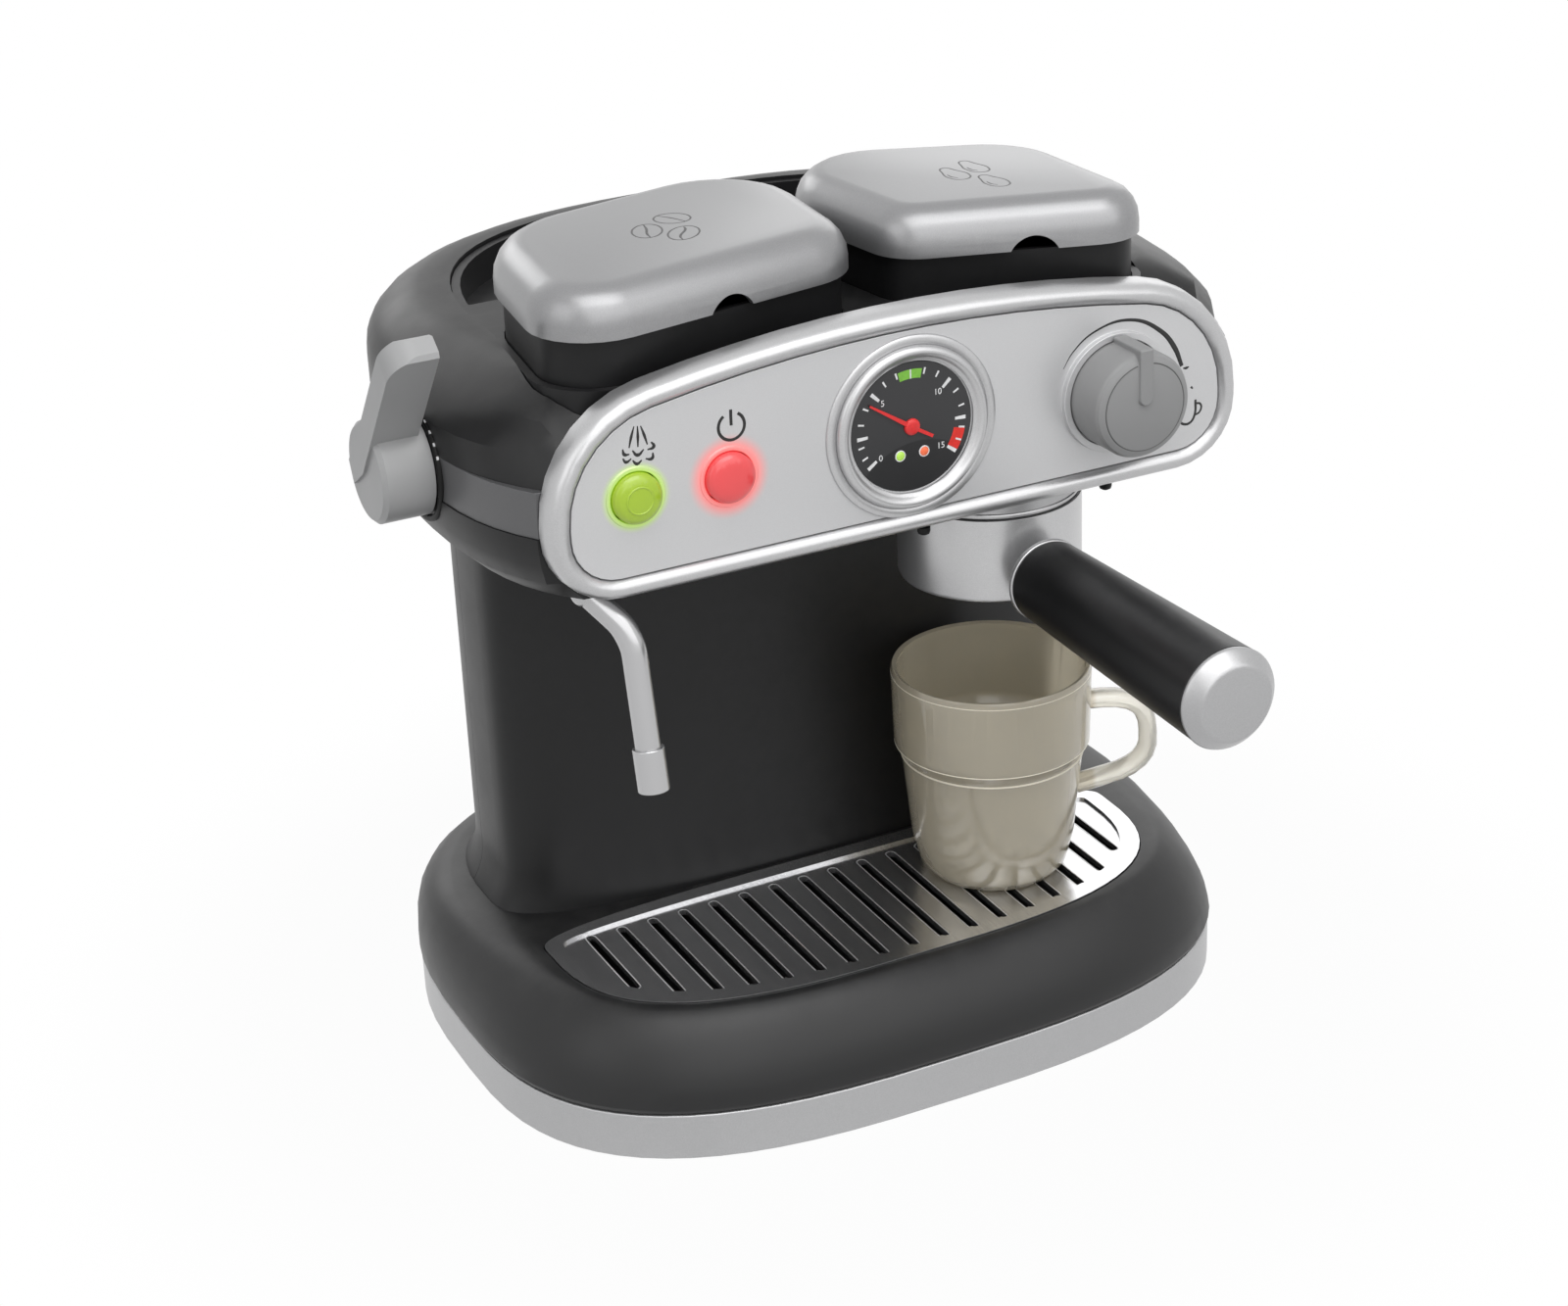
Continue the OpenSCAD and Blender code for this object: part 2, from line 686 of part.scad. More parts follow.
// Corner circles of the boxes, seen from above
bean_corners = [
    [-72.2, -35.8, 17.2], [-17, -24.9, 18], [-22.2, 1.2, 25.3], [-55, -11.8, 31.3]
];
water_corners = [
    [23, -25.6, 14.1], [65.1, -41, 12.9], [49.9, -10.7, 27], [28, 3.7, 22.8]
];
box_inset = 2;
pocket_inset = box_inset - gap;
pit_front = 26;
module behind(y) {
    translate([-head_w, y]) square([2 * head_w, head_back + 50]);
}
module pockets(inset) {
    polygon(corner_outline(bean_corners, inset));
    polygon(corner_outline(water_corners, inset));
}
module top_deck() {
    floor_z = box_z - wall;
    color([0.16, 0.16, 0.16]) difference() {
        union() {
            slab(rim_outline(wall + gap), pit_z, deck_z - pit_z);
            translate([0, 0, floor_z]) linear_extrude(deck_z - floor_z) intersection() {
                pockets(pocket_inset - wall);
                behind(head_cut + wall + gap);
            }
        }
        // Hollow under the front deck, round the pockets
        translate([0, 0, pit_z - 1]) linear_extrude(deck_z - wall - pit_z + 1) difference() {
            polygon(rim_outline(2 * wall + gap));
            pockets(pocket_inset - wall);
            behind(pit_front - wall);
        }
        // Sunken tray at the back
        translate([0, 0, pit_z + wall]) linear_extrude(pit_d) difference() {
            intersection() {
                polygon(rim_outline(2 * wall + gap));
                behind(pit_front);
            }
            pockets(pocket_inset - wall);
        }
        translate([0, 0, box_z]) linear_extrude(deck_z) pockets(pocket_inset);
        translate([knob_x, inlet_y, floor_z - 1]) cylinder(r = inlet_r + gap, h = wall + 2);
        for (x = [-1, 1]) for (k = [0:3])
            translate([x * (44 + 5 * k) - 1, 40, pit_z - 1]) cube([2, 14, wall + 3]);
    }
}

// ---- front panel -------------------------------------------------------------
function panel_ring(inset, y) = [for (p = fascia_outline(inset)) [p[0], y, p[1]]];
crest = -fascia_front;
module fascia_bezel() {
    w = bezel_w;
    rings = [
        panel_ring(0, crest + bezel_d),
        panel_ring(0, crest + bezel_d * 0.75),
        panel_ring(w * 0.03, crest + bezel_d * 0.45),
        panel_ring(w * 0.12, crest + bezel_d * 0.22),
        panel_ring(w * 0.28, crest + 0.5),
        panel_ring(w * 0.5, crest),
        panel_ring(w * 0.72, crest + 0.3),
        panel_ring(w * 0.88, crest + 1),
        panel_ring(w, crest + 2.2),
        panel_ring(w, crest + bezel_d)
    ];
    color([0.8, 0.8, 0.81]) skin(rings, true);
}

panel_y = crest + panel_sink;
gauge_z = fascia_z + gauge_up;
control_z = fascia_z + control_up;
collar_w = 1.8;
collar_out = 1.6;
module fascia_panel() {
    color([0.74, 0.74, 0.75]) difference() {
        union() {
            upright(panel_y, panel_t) polygon(fascia_outline(bezel_w + 0.1));
            bar_y(knob_x, panel_y + 1, control_z, knob_r + gap + collar_w, 1 + collar_out);
            for (x = [green_x, red_x]) bar_y(x, panel_y + 1, control_z, button_r + 1.4, 1.4);
            for (x = board_posts) {
                bar_y(x, board_y, control_z, 2.8, board_y - panel_y - 1);
                bar_y(x, board_y + 2, control_z, 1.5, 4);
            }
        }
        bar_y(knob_x, panel_y, control_z, knob_r + gap, 10);
        bar_y(knob_x, panel_y + 10, control_z, shaft_r + gap, 30);
        for (x = [green_x, red_x]) bar_y(x, panel_y + 10, control_z, button_r + gap, 30);
        bar_y(0, panel_y + 10, gauge_z, dial_r - 1, 30);
    }
}

module gauge_ring() {
    color([0.8, 0.8, 0.81]) translate([0, panel_y, gauge_z]) rotate([90, 0, 0]) rotate_extrude()
        polygon([[dial_r - 0.6, 0], [dial_r + ring_w, 0], [dial_r + ring_w, ring_out * 0.5],
                 [dial_r + ring_w * 0.8, ring_out * 0.88], [dial_r + ring_w * 0.55, ring_out],
                 [dial_r + ring_w * 0.3, ring_out * 0.85], [dial_r, ring_out * 0.3],
                 [dial_r - 0.6, ring_out * 0.3]]);
}

module gauge_dial() {
    color([0.05, 0.05, 0.05]) bar_y(0, panel_y + 0.8, gauge_z, dial_r - 1 - 0.02, 1);
}

knob_back = panel_y - 0.4;
knob_face = knob_back - knob_l;
rib_w = 4;
rib_out = 0.9;
rib_over = 1.6;
rib_back = panel_y - collar_out - 0.4;
module brew_knob() {
    color([0.55, 0.55, 0.55]) difference() {
        union() {
            bar_y(knob_x, knob_back, control_z, knob_r, knob_l - 2);
            bar_y(knob_x, knob_face + 2, control_z, knob_r, 1.2, knob_r - 0.7);
            bar_y(knob_x, knob_face + 0.8, control_z, knob_r - 0.7, 0.8, knob_r - 2.3);
            translate([knob_x - rib_w / 2, knob_face - rib_out, control_z + 2.6])
                cube([rib_w, rib_back - knob_face + rib_out, knob_r + rib_over - 2.6]);
            bar_y(knob_x, knob_face + 2, control_z + 2.6, rib_w / 2, 2 + rib_out);
        }
        bar_y(knob_x, knob_back + 1, control_z, shaft_r, 8);
    }
}

valve_y = panel_y + panel_t + 2;
module knob_shaft() {
    color([0.7, 0.7, 0.7]) bar_y(knob_x, valve_y + 14, control_z, shaft_r, valve_y + 14 - knob_back + 7);
}

inlet_r = 3.2;
inlet_y = valve_y + 14;
module valve_body() {
    color([0.85, 0.85, 0.85]) difference() {
        union() {
            bar_y(knob_x, valve_y + 18, control_z, 8, 17);
            translate([knob_x, inlet_y, control_z + 5]) cylinder(r = inlet_r, h = box_z - 1.5 - control_z - 5);
            bar_x(knob_x - 6, valve_y + 10, control_z, 3.2, 7);
        }
        bar_y(knob_x, valve_y + 15, control_z, shaft_r + fit, 20);
        translate([knob_x, inlet_y, control_z + 3.5]) cylinder(r = drain_r, h = 20);
    }
}

module valve_seal() {
    color([0.1, 0.1, 0.1]) translate([knob_x, valve_y + 1, control_z]) rotate([90, 0, 0])
        difference() {
            cylinder(r = 6, h = 1.6);
            translate([0, 0, -1]) cylinder(r = shaft_r + fit, h = 4);
        }
}

drain_r = 1.8;
module inlet_seal() {
    color([0.1, 0.1, 0.1]) translate([knob_x, inlet_y, box_z - 1.5]) difference() {
        cylinder(r = inlet_r, h = 1.5 - gap);
        translate([0, 0, -1]) cylinder(r = drain_r, h = 4);
    }
}

hose_r = 3.2;
module group_hose() {
    start = [knob_x - 13.2, valve_y + 10, control_z];
    low = [group_x, -group_front, head_z + 3];
    color([0.85, 0.87, 0.9])
        tube(concat([start], bend(start - [3, 0, 0], [group_x, -group_front, control_z],
             low + [0, 0, 4], 6), [low]), hose_r, hose_r, [0, 1, 0.3]);
}

// A button: domed cap with a stem that reaches its switch
module button(x) {
    translate([x, panel_y, control_z]) rotate([90, 0, 0]) {
        rotate_extrude() polygon([[0, -6], [button_r - 1, -6], [button_r - 1, -4], [button_r, -4],
            [button_r, button_out - 1.4], [button_r * 0.82, button_out - 0.4],
            [button_r * 0.5, button_out], [0, button_out]]);
        translate([0, 0, -9]) cylinder(r = 2.2, h = 4);
    }
}
module green_button() {
    color([0.62, 0.85, 0.1]) button(green_x);
}
module red_button() {
    color([0.95, 0.25, 0.27]) button(red_x);
}

board_y = panel_y + 9 + button_travel + 1.4;
board_low = control_z - 11.5;
board_top = box_z - wall - 0.8;
board_posts = [green_x - button_r - 3.2, red_x + button_r + 3.2];
module circuit_board() {
    color([0.1, 0.45, 0.25]) difference() {
        translate([green_x - 13.5, board_y, board_low])
            cube([red_x - green_x + 27, 1.6, board_top - board_low]);
        for (x = board_posts) bar_y(x, board_y + 4, control_z, 1.5 + fit, 6);
    }
}

module tact_switches() {
    color([0.3, 0.3, 0.3]) for (x = [green_x, red_x]) {
        translate([x - 3, board_y - 0.9, control_z - 3]) cube([6, 0.9, 6]);
        bar_y(x, board_y - 0.9, control_z, 1.5, 0.4);
    }
}

module leds() {
    for (x = [green_x, red_x]) color(x == green_x ? [0.3, 0.9, 0.2] : [0.9, 0.2, 0.2])
        bar_y(x, board_y, control_z - 8, 1.5, 4);
}

// ---- side lever --------------------------------------------------------------
hub_face = -head_w / 2 - gap - hub_l;
blade_out = 0.8;
// Upright blade, inner edge at x = 0, front face at y = 0, with a round outer top corner
module blade() {
    tip_r = 8;
    intersection() {
        rotate([0, -90, 0]) linear_extrude(blade_w) polygon([[-9, blade_t * 0.4], [0, 0],
            [blade_l - 1, 0], [blade_l, 1.2], [blade_l, blade_t - 1.5],
            [blade_l - 1.5, blade_t], [14, blade_t], [8, blade_t + 2], [-6, blade_t + 1]]);
        translate([0, 20, 0]) rotate([90, 0, 0]) linear_extrude(30) {
            translate([-blade_w, -20]) square([blade_w, blade_l + 20 - tip_r]);
            translate([-blade_w + tip_r, -20]) square([blade_w - tip_r, blade_l + 20]);
            translate([-blade_w + tip_r, blade_l - tip_r]) circle(r = tip_r);
        }
    }
}
module steam_lever() {
    color([0.58, 0.58, 0.58]) difference() {
        union() {
            bar_x(-head_w / 2 - gap, -head_mid, hub_z, hub_r, hub_l - 1.2);
            translate([hub_face + 1.2, -head_mid, hub_z]) rotate([0, -90, 0])
                cylinder(r1 = hub_r, r2 = hub_r - 1.2, h = 1.2);
            translate([hub_face - blade_out + blade_w, -head_mid, hub_z])
                rotate([blade_lean, 0, 0]) blade();
        }
        bar_x(-head_w / 2 + 1, -head_mid, hub_z, shaft_r, 10);
    }
}

module lever_shaft() {
    color([0.7, 0.7, 0.7]) {
        bar_x(-head_w / 2 + 14, -head_mid, hub_z, shaft_r, 23);
        bar_x(-head_w / 2 + 14, -head_mid, hub_z, shaft_r + 2, 2);
    }
}

module lever_bushing() {
    color([0.85, 0.85, 0.8]) difference() {
        bar_x(-head_w / 2 + 11.5, -head_mid, hub_z, bushing_r, 11);
        bar_x(-head_w / 2 + 15, -head_mid, hub_z, shaft_r + fit, 20);
    }
}

// ---- group and portafilter ---------------------------------------------------
bowl_top = head_z - group_h;
bowl_z = bowl_top - bowl_h;
module at_group(z) {
    translate([group_x, -group_front, z]) children();
}
module group_head() {
    color([0.7, 0.7, 0.71]) at_group(bowl_top + gap) difference() {
        union() {
            cylinder(r = bowl_r - 0.6, h = group_h - gap);
            translate([0, 0, -6]) cylinder(r = bowl_r - bowl_wall - gap, h = 6);
            cylinder(r = 8.6, h = group_h - gap + 5);
        }
        translate([0, 0, -7]) cylinder(r = bowl_r - bowl_wall - 3, h = 9);
        translate([0, 0, -7]) cylinder(r = hose_r + 0.1, h = 40);
    }
}

module shower_disc() {
    color([0.5, 0.5, 0.52]) at_group(bowl_top + gap - 2) difference() {
        cylinder(r = bowl_r - bowl_wall - 3.1, h = 1.2);
        for (r = [5, 11, 16]) for (a = [0:360 / round(r * 0.9):359])
            rotate([0, 0, a]) translate([r, 0, -1]) cylinder(r = 0.9, h = 4, $fn = 16);
    }
}

module portafilter_bowl() {
    color([0.8, 0.8, 0.81]) at_group(bowl_z) difference() {
        union() {
            rotate_extrude() polygon([[0, 0], [bowl_r - 1.6, 0], [bowl_r - 0.5, 0.5],
                [bowl_r, 1.6], [bowl_r, bowl_h], [0, bowl_h]]);
            translate([0, -bowl_r + 2, handle_up]) rotate([90, 0, 0]) cylinder(r = 6.4, h = 6.4);
        }
        translate([0, 0, wall]) cylinder(r = bowl_r - bowl_wall, h = bowl_h);
        translate([0, 0, -1]) cylinder(r = 2.5, h = 5);
    }
}

module bowl_spout() {
    color([0.12, 0.12, 0.12]) at_group(bowl_z - 3) difference() {
        cylinder(r1 = 3.6, r2 = 4.4, h = 3);
        translate([0, 0, -1]) cylinder(r = 2.5, h = 5);
    }
}

handle_start = bowl_r + 4.4;
handle_z = bowl_z + handle_up;
module handle_ring() {
    color([0.8, 0.8, 0.81]) bar_y(group_x, -group_front - handle_start, handle_z, handle_r + 0.2, 1.6);
}

module portafilter_handle() {
    color([0.1, 0.1, 0.1]) bar_y(group_x, -group_front - handle_start - 1.6, handle_z, handle_r,
        handle_l - handle_start - 1.6 - cap_l, handle_end_r);
}

module handle_cap() {
    color([0.8, 0.8, 0.81]) translate([group_x, -group_front - handle_l + cap_l, handle_z])
        rotate([90, 0, 0]) rotate_extrude() polygon([[0, 0], [handle_end_r, 0],
            [handle_end_r + 0.1, 0.5], [handle_end_r - 0.2, cap_l * 0.25],
            [handle_end_r - 2.8, cap_l * 0.88], [handle_end_r - 3.3, cap_l * 0.97],
            [handle_end_r - 4.2, cap_l], [0, cap_l]]);
}

// ---- steam wand --------------------------------------------------------------
socket_r = 4.8;
socket_h = 7;
ball_r = 3.6;
joint = [-wand_x, -wand_front, head_z - 0.3];
elbow = joint + [8.5, -8, -10.7];
straight = unit([0.5, -7, -42]);
module wand_socket() {
    color([0.15, 0.15, 0.15]) difference() {
        translate([joint[0], joint[1], head_z]) cylinder(r = socket_r, h = socket_h);
        translate([joint[0], joint[1], head_z - 1]) cylinder(r = ball_r + fit, h = socket_h);
    }
}
module steam_wand() {
    slant = unit(elbow - joint);
    path = concat([joint], bend(elbow - slant * 7, elbow, elbow + straight * 8, 6),
                  [elbow + straight * (wand_l - sleeve_l)]);
    color([0.8, 0.8, 0.81]) {
        difference() {
            tube(path, wand_r, wand_r, [0.6, 0.8, 0]);
            translate([joint[0] - 10, joint[1] - 10, joint[2]]) cube([20, 20, 10]);
        }
        translate([joint[0], joint[1], joint[2] - 2]) cylinder(r = ball_r, h = socket_h - 0.8);
    }
}
module wand_tip() {
    start = elbow + straight * (wand_l - sleeve_l);
    color([0.72, 0.72, 0.73]) translate(start)
        rotate([0, 0, atan2(straight[1], straight[0])]) rotate([0, acos(straight[2]), 0])
            difference() {
                cylinder(r = wand_r + 0.8, h = sleeve_l);
                translate([0, 0, sleeve_l - 2]) cylinder(r = 1.6, h = 3);
            }
}

// ---- boxes and lids ----------------------------------------------------------
module box(corners) {
    difference() {
        slab(corner_outline(corners, box_inset), box_z, box_d - gap);
        slab(corner_outline(corners, box_inset + lid_wall), box_z + lid_wall, box_d);
    }
}
lid_steps = 5;
function lid_rings(corners, inset, round_r, low, high) = concat(
    [at_height(corner_outline(corners, inset), low)],
    [for (i = [0:lid_steps]) let (a = 90 * i / lid_steps)
        at_height(corner_outline(corners, inset + round_r * (1 - cos(a))),
                  high - round_r * 1.15 * (1 - sin(a)))]
);
module lid(corners) {
    outer = lid_rings(corners, 0, lid_round, lid_z, lid_z + lid_h);
    inner = lid_rings(corners, lid_wall, lid_round - 1, lid_z, lid_z + lid_h - lid_wall);
    reversed = [for (i = [len(inner) - 1:-1:0]) inner[i]];
    skin(concat(reversed, outer));
}
// Finger notch in the lid's front edge, shifted to the right of its middle
module notch(corners, shift) {
    front = (corners[0] + corners[1]) / 2;
    dir = corners[1] - corners[0];
    translate([front[0], front[1], lid_z]) rotate([0, 0, atan2(dir[1], dir[0])])
        translate([shift, 0, notch_h - notch_r]) rotate([90, 0, 0]) cylinder(r = notch_r, h = 40);
}
// Places things on a lid's hinge axis, behind the middle of its back edge; x runs along the axis
barrel_r = 2.4;
barrel_l = 8;
hinge_out = barrel_r + gap + 0.1;
module at_hinge(corners) {
    a = corners[2];
    b = corners[3];
    out = tangent_angle(a, b);
    edge_x = (a[0] + b[0] + (a[2] + b[2]) * cos(out)) / 2;
    edge_y = (a[1] + b[1] + (a[2] + b[2]) * sin(out)) / 2;
    translate([edge_x + hinge_out * cos(out), edge_y + hinge_out * sin(out), lid_z])
        rotate([0, 0, out + 90]) children();
}
module barrel(x, l, hole_r) {
    translate([x - l / 2, 0, 0]) rotate([0, 90, 0]) difference() {
        cylinder(r = barrel_r, h = l);
        translate([0, 0, -1]) cylinder(r = hole_r, h = l + 2);
    }
}
// The lid's middle knuckle turns on the pin; the box's outer knuckles hold the pin
module hinged_lid(corners, notch_shift) {
    difference() {
        lid(corners);
        notch(corners, notch_shift);
    }
    at_hinge(corners) {
        barrel(0, barrel_l, pin_r + fit);
        translate([-barrel_l / 2, pin_r + 0.6, 0]) cube([barrel_l, hinge_out - pin_r, barrel_r]);
    }
}
module hinged_box(corners) {
    knuckle_x = barrel_l + gap;
    box(corners);
    at_hinge(corners) for (side = [-1, 1]) {
        barrel(side * knuckle_x, barrel_l, pin_r);
        translate([side * knuckle_x - barrel_l / 2, pin_r * 0.4, -gap - 4.2])
            cube([barrel_l, hinge_out + box_inset + 0.5, 4.2 - pin_r - 0.3]);
    }
}
module hinge_pin(corners) {
    at_hinge(corners) rotate([0, 90, 0]) cylinder(r = pin_r, h = 3 * barrel_l, center = true);
}
module bean_box() {
    color([0.1, 0.1, 0.1]) hinged_box(bean_corners);
}
module bean_lid() {
    color([0.78, 0.78, 0.79]) hinged_lid(bean_corners, 0.9);
}
module bean_hinge_pin() {
    color([0.7, 0.7, 0.7]) hinge_pin(bean_corners);
}
module water_tank() {
    color([0.1, 0.1, 0.1]) difference() {
        hinged_box(water_corners);
        translate([knob_x, inlet_y, box_z - 1]) cylinder(r = drain_r, h = lid_wall + 2);
    }
}
module water_lid() {
    color([0.78, 0.78, 0.79]) hinged_lid(water_corners, 5.7);
}
module water_hinge_pin() {
    color([0.7, 0.7, 0.7]) hinge_pin(water_corners);
}

// ---- cup ---------------------------------------------------------------------
cup_z = base_h + grille_proud - field_sink;
cup_profile = [[16, 0], [18, 0.5], [20.6, 3.4], [22.6, 11], [23.9, 24], [25.2, 36.5], [25.6, 38],
               [26.9, 39.5], [27.1, 41]];
module cup() {
    outer = concat([[0, 0.8], [15, 0.8]], cup_profile, [[cup_r, cup_h - 1], [cup_r - 0.5, cup_h]]);
    inner = concat([[cup_r - cup_wall, cup_h - 0.4]],
        [for (i = [len(cup_profile) - 1:-1:2]) [cup_profile[i][0] - cup_wall, cup_profile[i][1] + 0.3]],
        [[16, 2.6], [0, 2.4]]);
    top = cup_h - 15;
    color([0.85, 0.82, 0.76]) translate([group_x, -group_front, cup_z]) {
        rotate_extrude() polygon(concat(outer, inner));
        rotate([0, 0, -20]) tube(concat([[25, 0, top + 1]],
            bend([31, 0, top + 1], [44, 0, top + 1], [44, 0, top - 10], 6),
            bend([44, 0, top - 14], [43, 0, top - 21], [32, 0, top - 23], 5),
            [[23.6, 0, top - 25]]), 3.6, 2.6, [0, 1, 0]);
    }
}

base_band();
base_cover();
base_plate();
base_screws();
battery_door();
door_screw();
batteries();
battery_contacts();
drip_tray();
drip_grille();
column_front();
rear_cover();
rear_screws();
speaker();
head_lower();
head_band();
head_upper();
top_deck();
fascia_bezel();
fascia_panel();
gauge_ring();
gauge_dial();
brew_knob();
knob_shaft();
valve_body();
valve_seal();
inlet_seal();
group_hose();
steam_lever();
lever_shaft();
lever_bushing();
green_button();
red_button();
circuit_board();
tact_switches();
leds();
group_head();
shower_disc();
portafilter_bowl();
bowl_spout();
handle_ring();
portafilter_handle();
handle_cap();
steam_wand();
wand_tip();
wand_socket();
bean_box();
bean_lid();
bean_hinge_pin();
water_tank();
water_lid();
water_hinge_pin();
cup();
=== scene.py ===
"""Toy coffee maker: finishes, gauge, printed marks, steam wand and small trim over the fixed frame."""
import json
import math

import bmesh
import bpy
from mathutils import Matrix, Vector


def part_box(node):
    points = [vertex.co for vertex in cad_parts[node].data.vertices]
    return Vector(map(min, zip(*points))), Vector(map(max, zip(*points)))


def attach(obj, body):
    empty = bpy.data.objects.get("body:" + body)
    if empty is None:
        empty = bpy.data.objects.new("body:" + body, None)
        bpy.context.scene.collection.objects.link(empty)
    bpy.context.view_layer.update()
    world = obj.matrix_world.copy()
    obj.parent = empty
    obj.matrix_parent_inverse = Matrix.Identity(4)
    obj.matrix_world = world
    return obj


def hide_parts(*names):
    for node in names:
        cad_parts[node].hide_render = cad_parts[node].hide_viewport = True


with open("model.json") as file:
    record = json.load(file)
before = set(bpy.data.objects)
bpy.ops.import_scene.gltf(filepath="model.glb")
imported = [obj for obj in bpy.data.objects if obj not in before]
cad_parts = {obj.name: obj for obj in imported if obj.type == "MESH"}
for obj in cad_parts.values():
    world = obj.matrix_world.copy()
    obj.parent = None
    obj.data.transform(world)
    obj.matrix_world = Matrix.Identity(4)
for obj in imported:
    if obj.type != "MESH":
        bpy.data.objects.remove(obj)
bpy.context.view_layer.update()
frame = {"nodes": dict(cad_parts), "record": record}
MM = 0.001

# ---- camera --------------------------------------------------------------------
CAMERA_PLACE = (-0.34697, -0.70397, 0.46468)
PAN, TILT, ROLL = -25.726, 90 - 24.903, -2.476
camera_data = bpy.data.cameras.new("studio_camera")
camera_data.sensor_width = 36.0
camera_data.lens = 71.72
camera = bpy.data.objects.new("studio_camera", camera_data)
bpy.context.scene.collection.objects.link(camera)
bpy.context.scene.camera = camera
camera.matrix_world = (
    Matrix.Translation(CAMERA_PLACE)
    @ Matrix.Rotation(math.radians(PAN), 4, "Z")
    @ Matrix.Rotation(math.radians(TILT), 4, "X")
    @ Matrix.Rotation(math.radians(ROLL), 4, "Z")
)
camera_data.clip_start = 0.01
bpy.context.scene.view_settings.view_transform = "Standard"


# ---- node helpers ----------------------------------------------------------------
def wire(tree, source, target):
    tree.links.new(source, target)


def new_group(name, inputs, outputs):
    """A shader node group with named float, colour and vector sockets"""
    group = bpy.data.node_groups.new(name, "ShaderNodeTree")
    for label, kind, value in inputs:
        socket = group.interface.new_socket(label, in_out="INPUT", socket_type="NodeSocket" + kind)
        if value is not None:
            socket.default_value = value
    for label, kind in outputs:
        group.interface.new_socket(label, in_out="OUTPUT", socket_type="NodeSocket" + kind)
    return group, group.nodes.new("NodeGroupInput"), group.nodes.new("NodeGroupOutput")


def noise(tree, vector, scale, detail, rough):
    """Noise whose scale may be a number or another node's socket"""
    node = tree.nodes.new("ShaderNodeTexNoise")
    node.inputs["Detail"].default_value = detail
    node.inputs["Roughness"].default_value = rough
    wire(tree, vector, node.inputs["Vector"])
    if isinstance(scale, (int, float)):
        node.inputs["Scale"].default_value = scale
    else:
        wire(tree, scale, node.inputs["Scale"])
    return node.outputs["Fac"]


def calc(tree, operation, a, b, clamp=False):
    """One step of arithmetic on numbers or sockets"""
    node = tree.nodes.new("ShaderNodeMath")
    node.operation = operation
    node.use_clamp = clamp
    for socket, value in zip(node.inputs, (a, b)):
        if isinstance(value, (int, float)):
            socket.default_value = value
        else:
            wire(tree, value, socket)
    return node.outputs[0]


def ramped(tree, value, low, high, out_low=0.0, out_high=1.0, smooth=False):
    """Stretches a value's range from low and high to the two given ends"""
    node = tree.nodes.new("ShaderNodeMapRange")
    node.interpolation_type = "SMOOTHSTEP" if smooth else "LINEAR"
    wire(tree, value, node.inputs["Value"])
    for label, number in zip(("From Min", "From Max", "To Min", "To Max"), (low, high, out_low, out_high)):
        if isinstance(number, (int, float)):
            node.inputs[label].default_value = number
        else:
            wire(tree, number, node.inputs[label])
    return node.outputs["Result"]


def tinted(tree, factor, first, second):
    """Mix of two colours, each a socket or three numbers, by a socket's value"""
    node = tree.nodes.new("ShaderNodeMix")
    node.data_type = "RGBA"
    wire(tree, factor, node.inputs[0])
    for socket, value in zip((node.inputs[6], node.inputs[7]), (first, second)):
        if isinstance(value, (tuple, list)):
            socket.default_value = (*value, 1.0)
        else:
            wire(tree, value, socket)
    return node.outputs[2]


def distance_from(tree, first, second, centre_first, centre_second):
    """How far a point lies from a centre, in the plane of two of its coordinates"""
    a = calc(tree, "SUBTRACT", first, centre_first)
    b = calc(tree, "SUBTRACT", second, centre_second)
    squared = calc(tree, "ADD", calc(tree, "MULTIPLY", a, a), calc(tree, "MULTIPLY", b, b))
    return calc(tree, "POWER", squared, 0.5)


def background_rays(tree):
    """1 on rays that show the background: from the camera, off metal and through clear plastic"""
    path = tree.nodes.new("ShaderNodeLightPath")
    return calc(tree, "MAXIMUM", path.outputs["Is Camera Ray"],
                calc(tree, "MAXIMUM", path.outputs["Is Glossy Ray"], path.outputs["Is Transmission Ray"]))


# ---- shared surface effects ---------------------------------------------------------
def build_moulded_grain():
    """Fine skin of injection-moulded plastic: bump height, slow tone and gloss changes"""
    group, given, result = new_group(
        "moulded_grain",
        [("Vector", "Vector", None), ("Grain Scale", "Float", 2600.0), ("Tone Scale", "Float", 22.0)],
        [("Height", "Float"), ("Tone", "Float"), ("Gloss", "Float")],
    )
    fine = noise(group, given.outputs["Vector"], given.outputs["Grain Scale"], 2.0, 0.6)
    broad = noise(group, given.outputs["Vector"], given.outputs["Tone Scale"], 3.0, 0.5)
    smear = noise(group, given.outputs["Vector"], 75.0, 4.0, 0.6)
    wire(group, fine, result.inputs["Height"])
    wire(group, ramped(group, broad, 0.3, 0.7), result.inputs["Tone"])
    wire(group, ramped(group, smear, 0.25, 0.75, -1.0, 1.0), result.inputs["Gloss"])
    return group


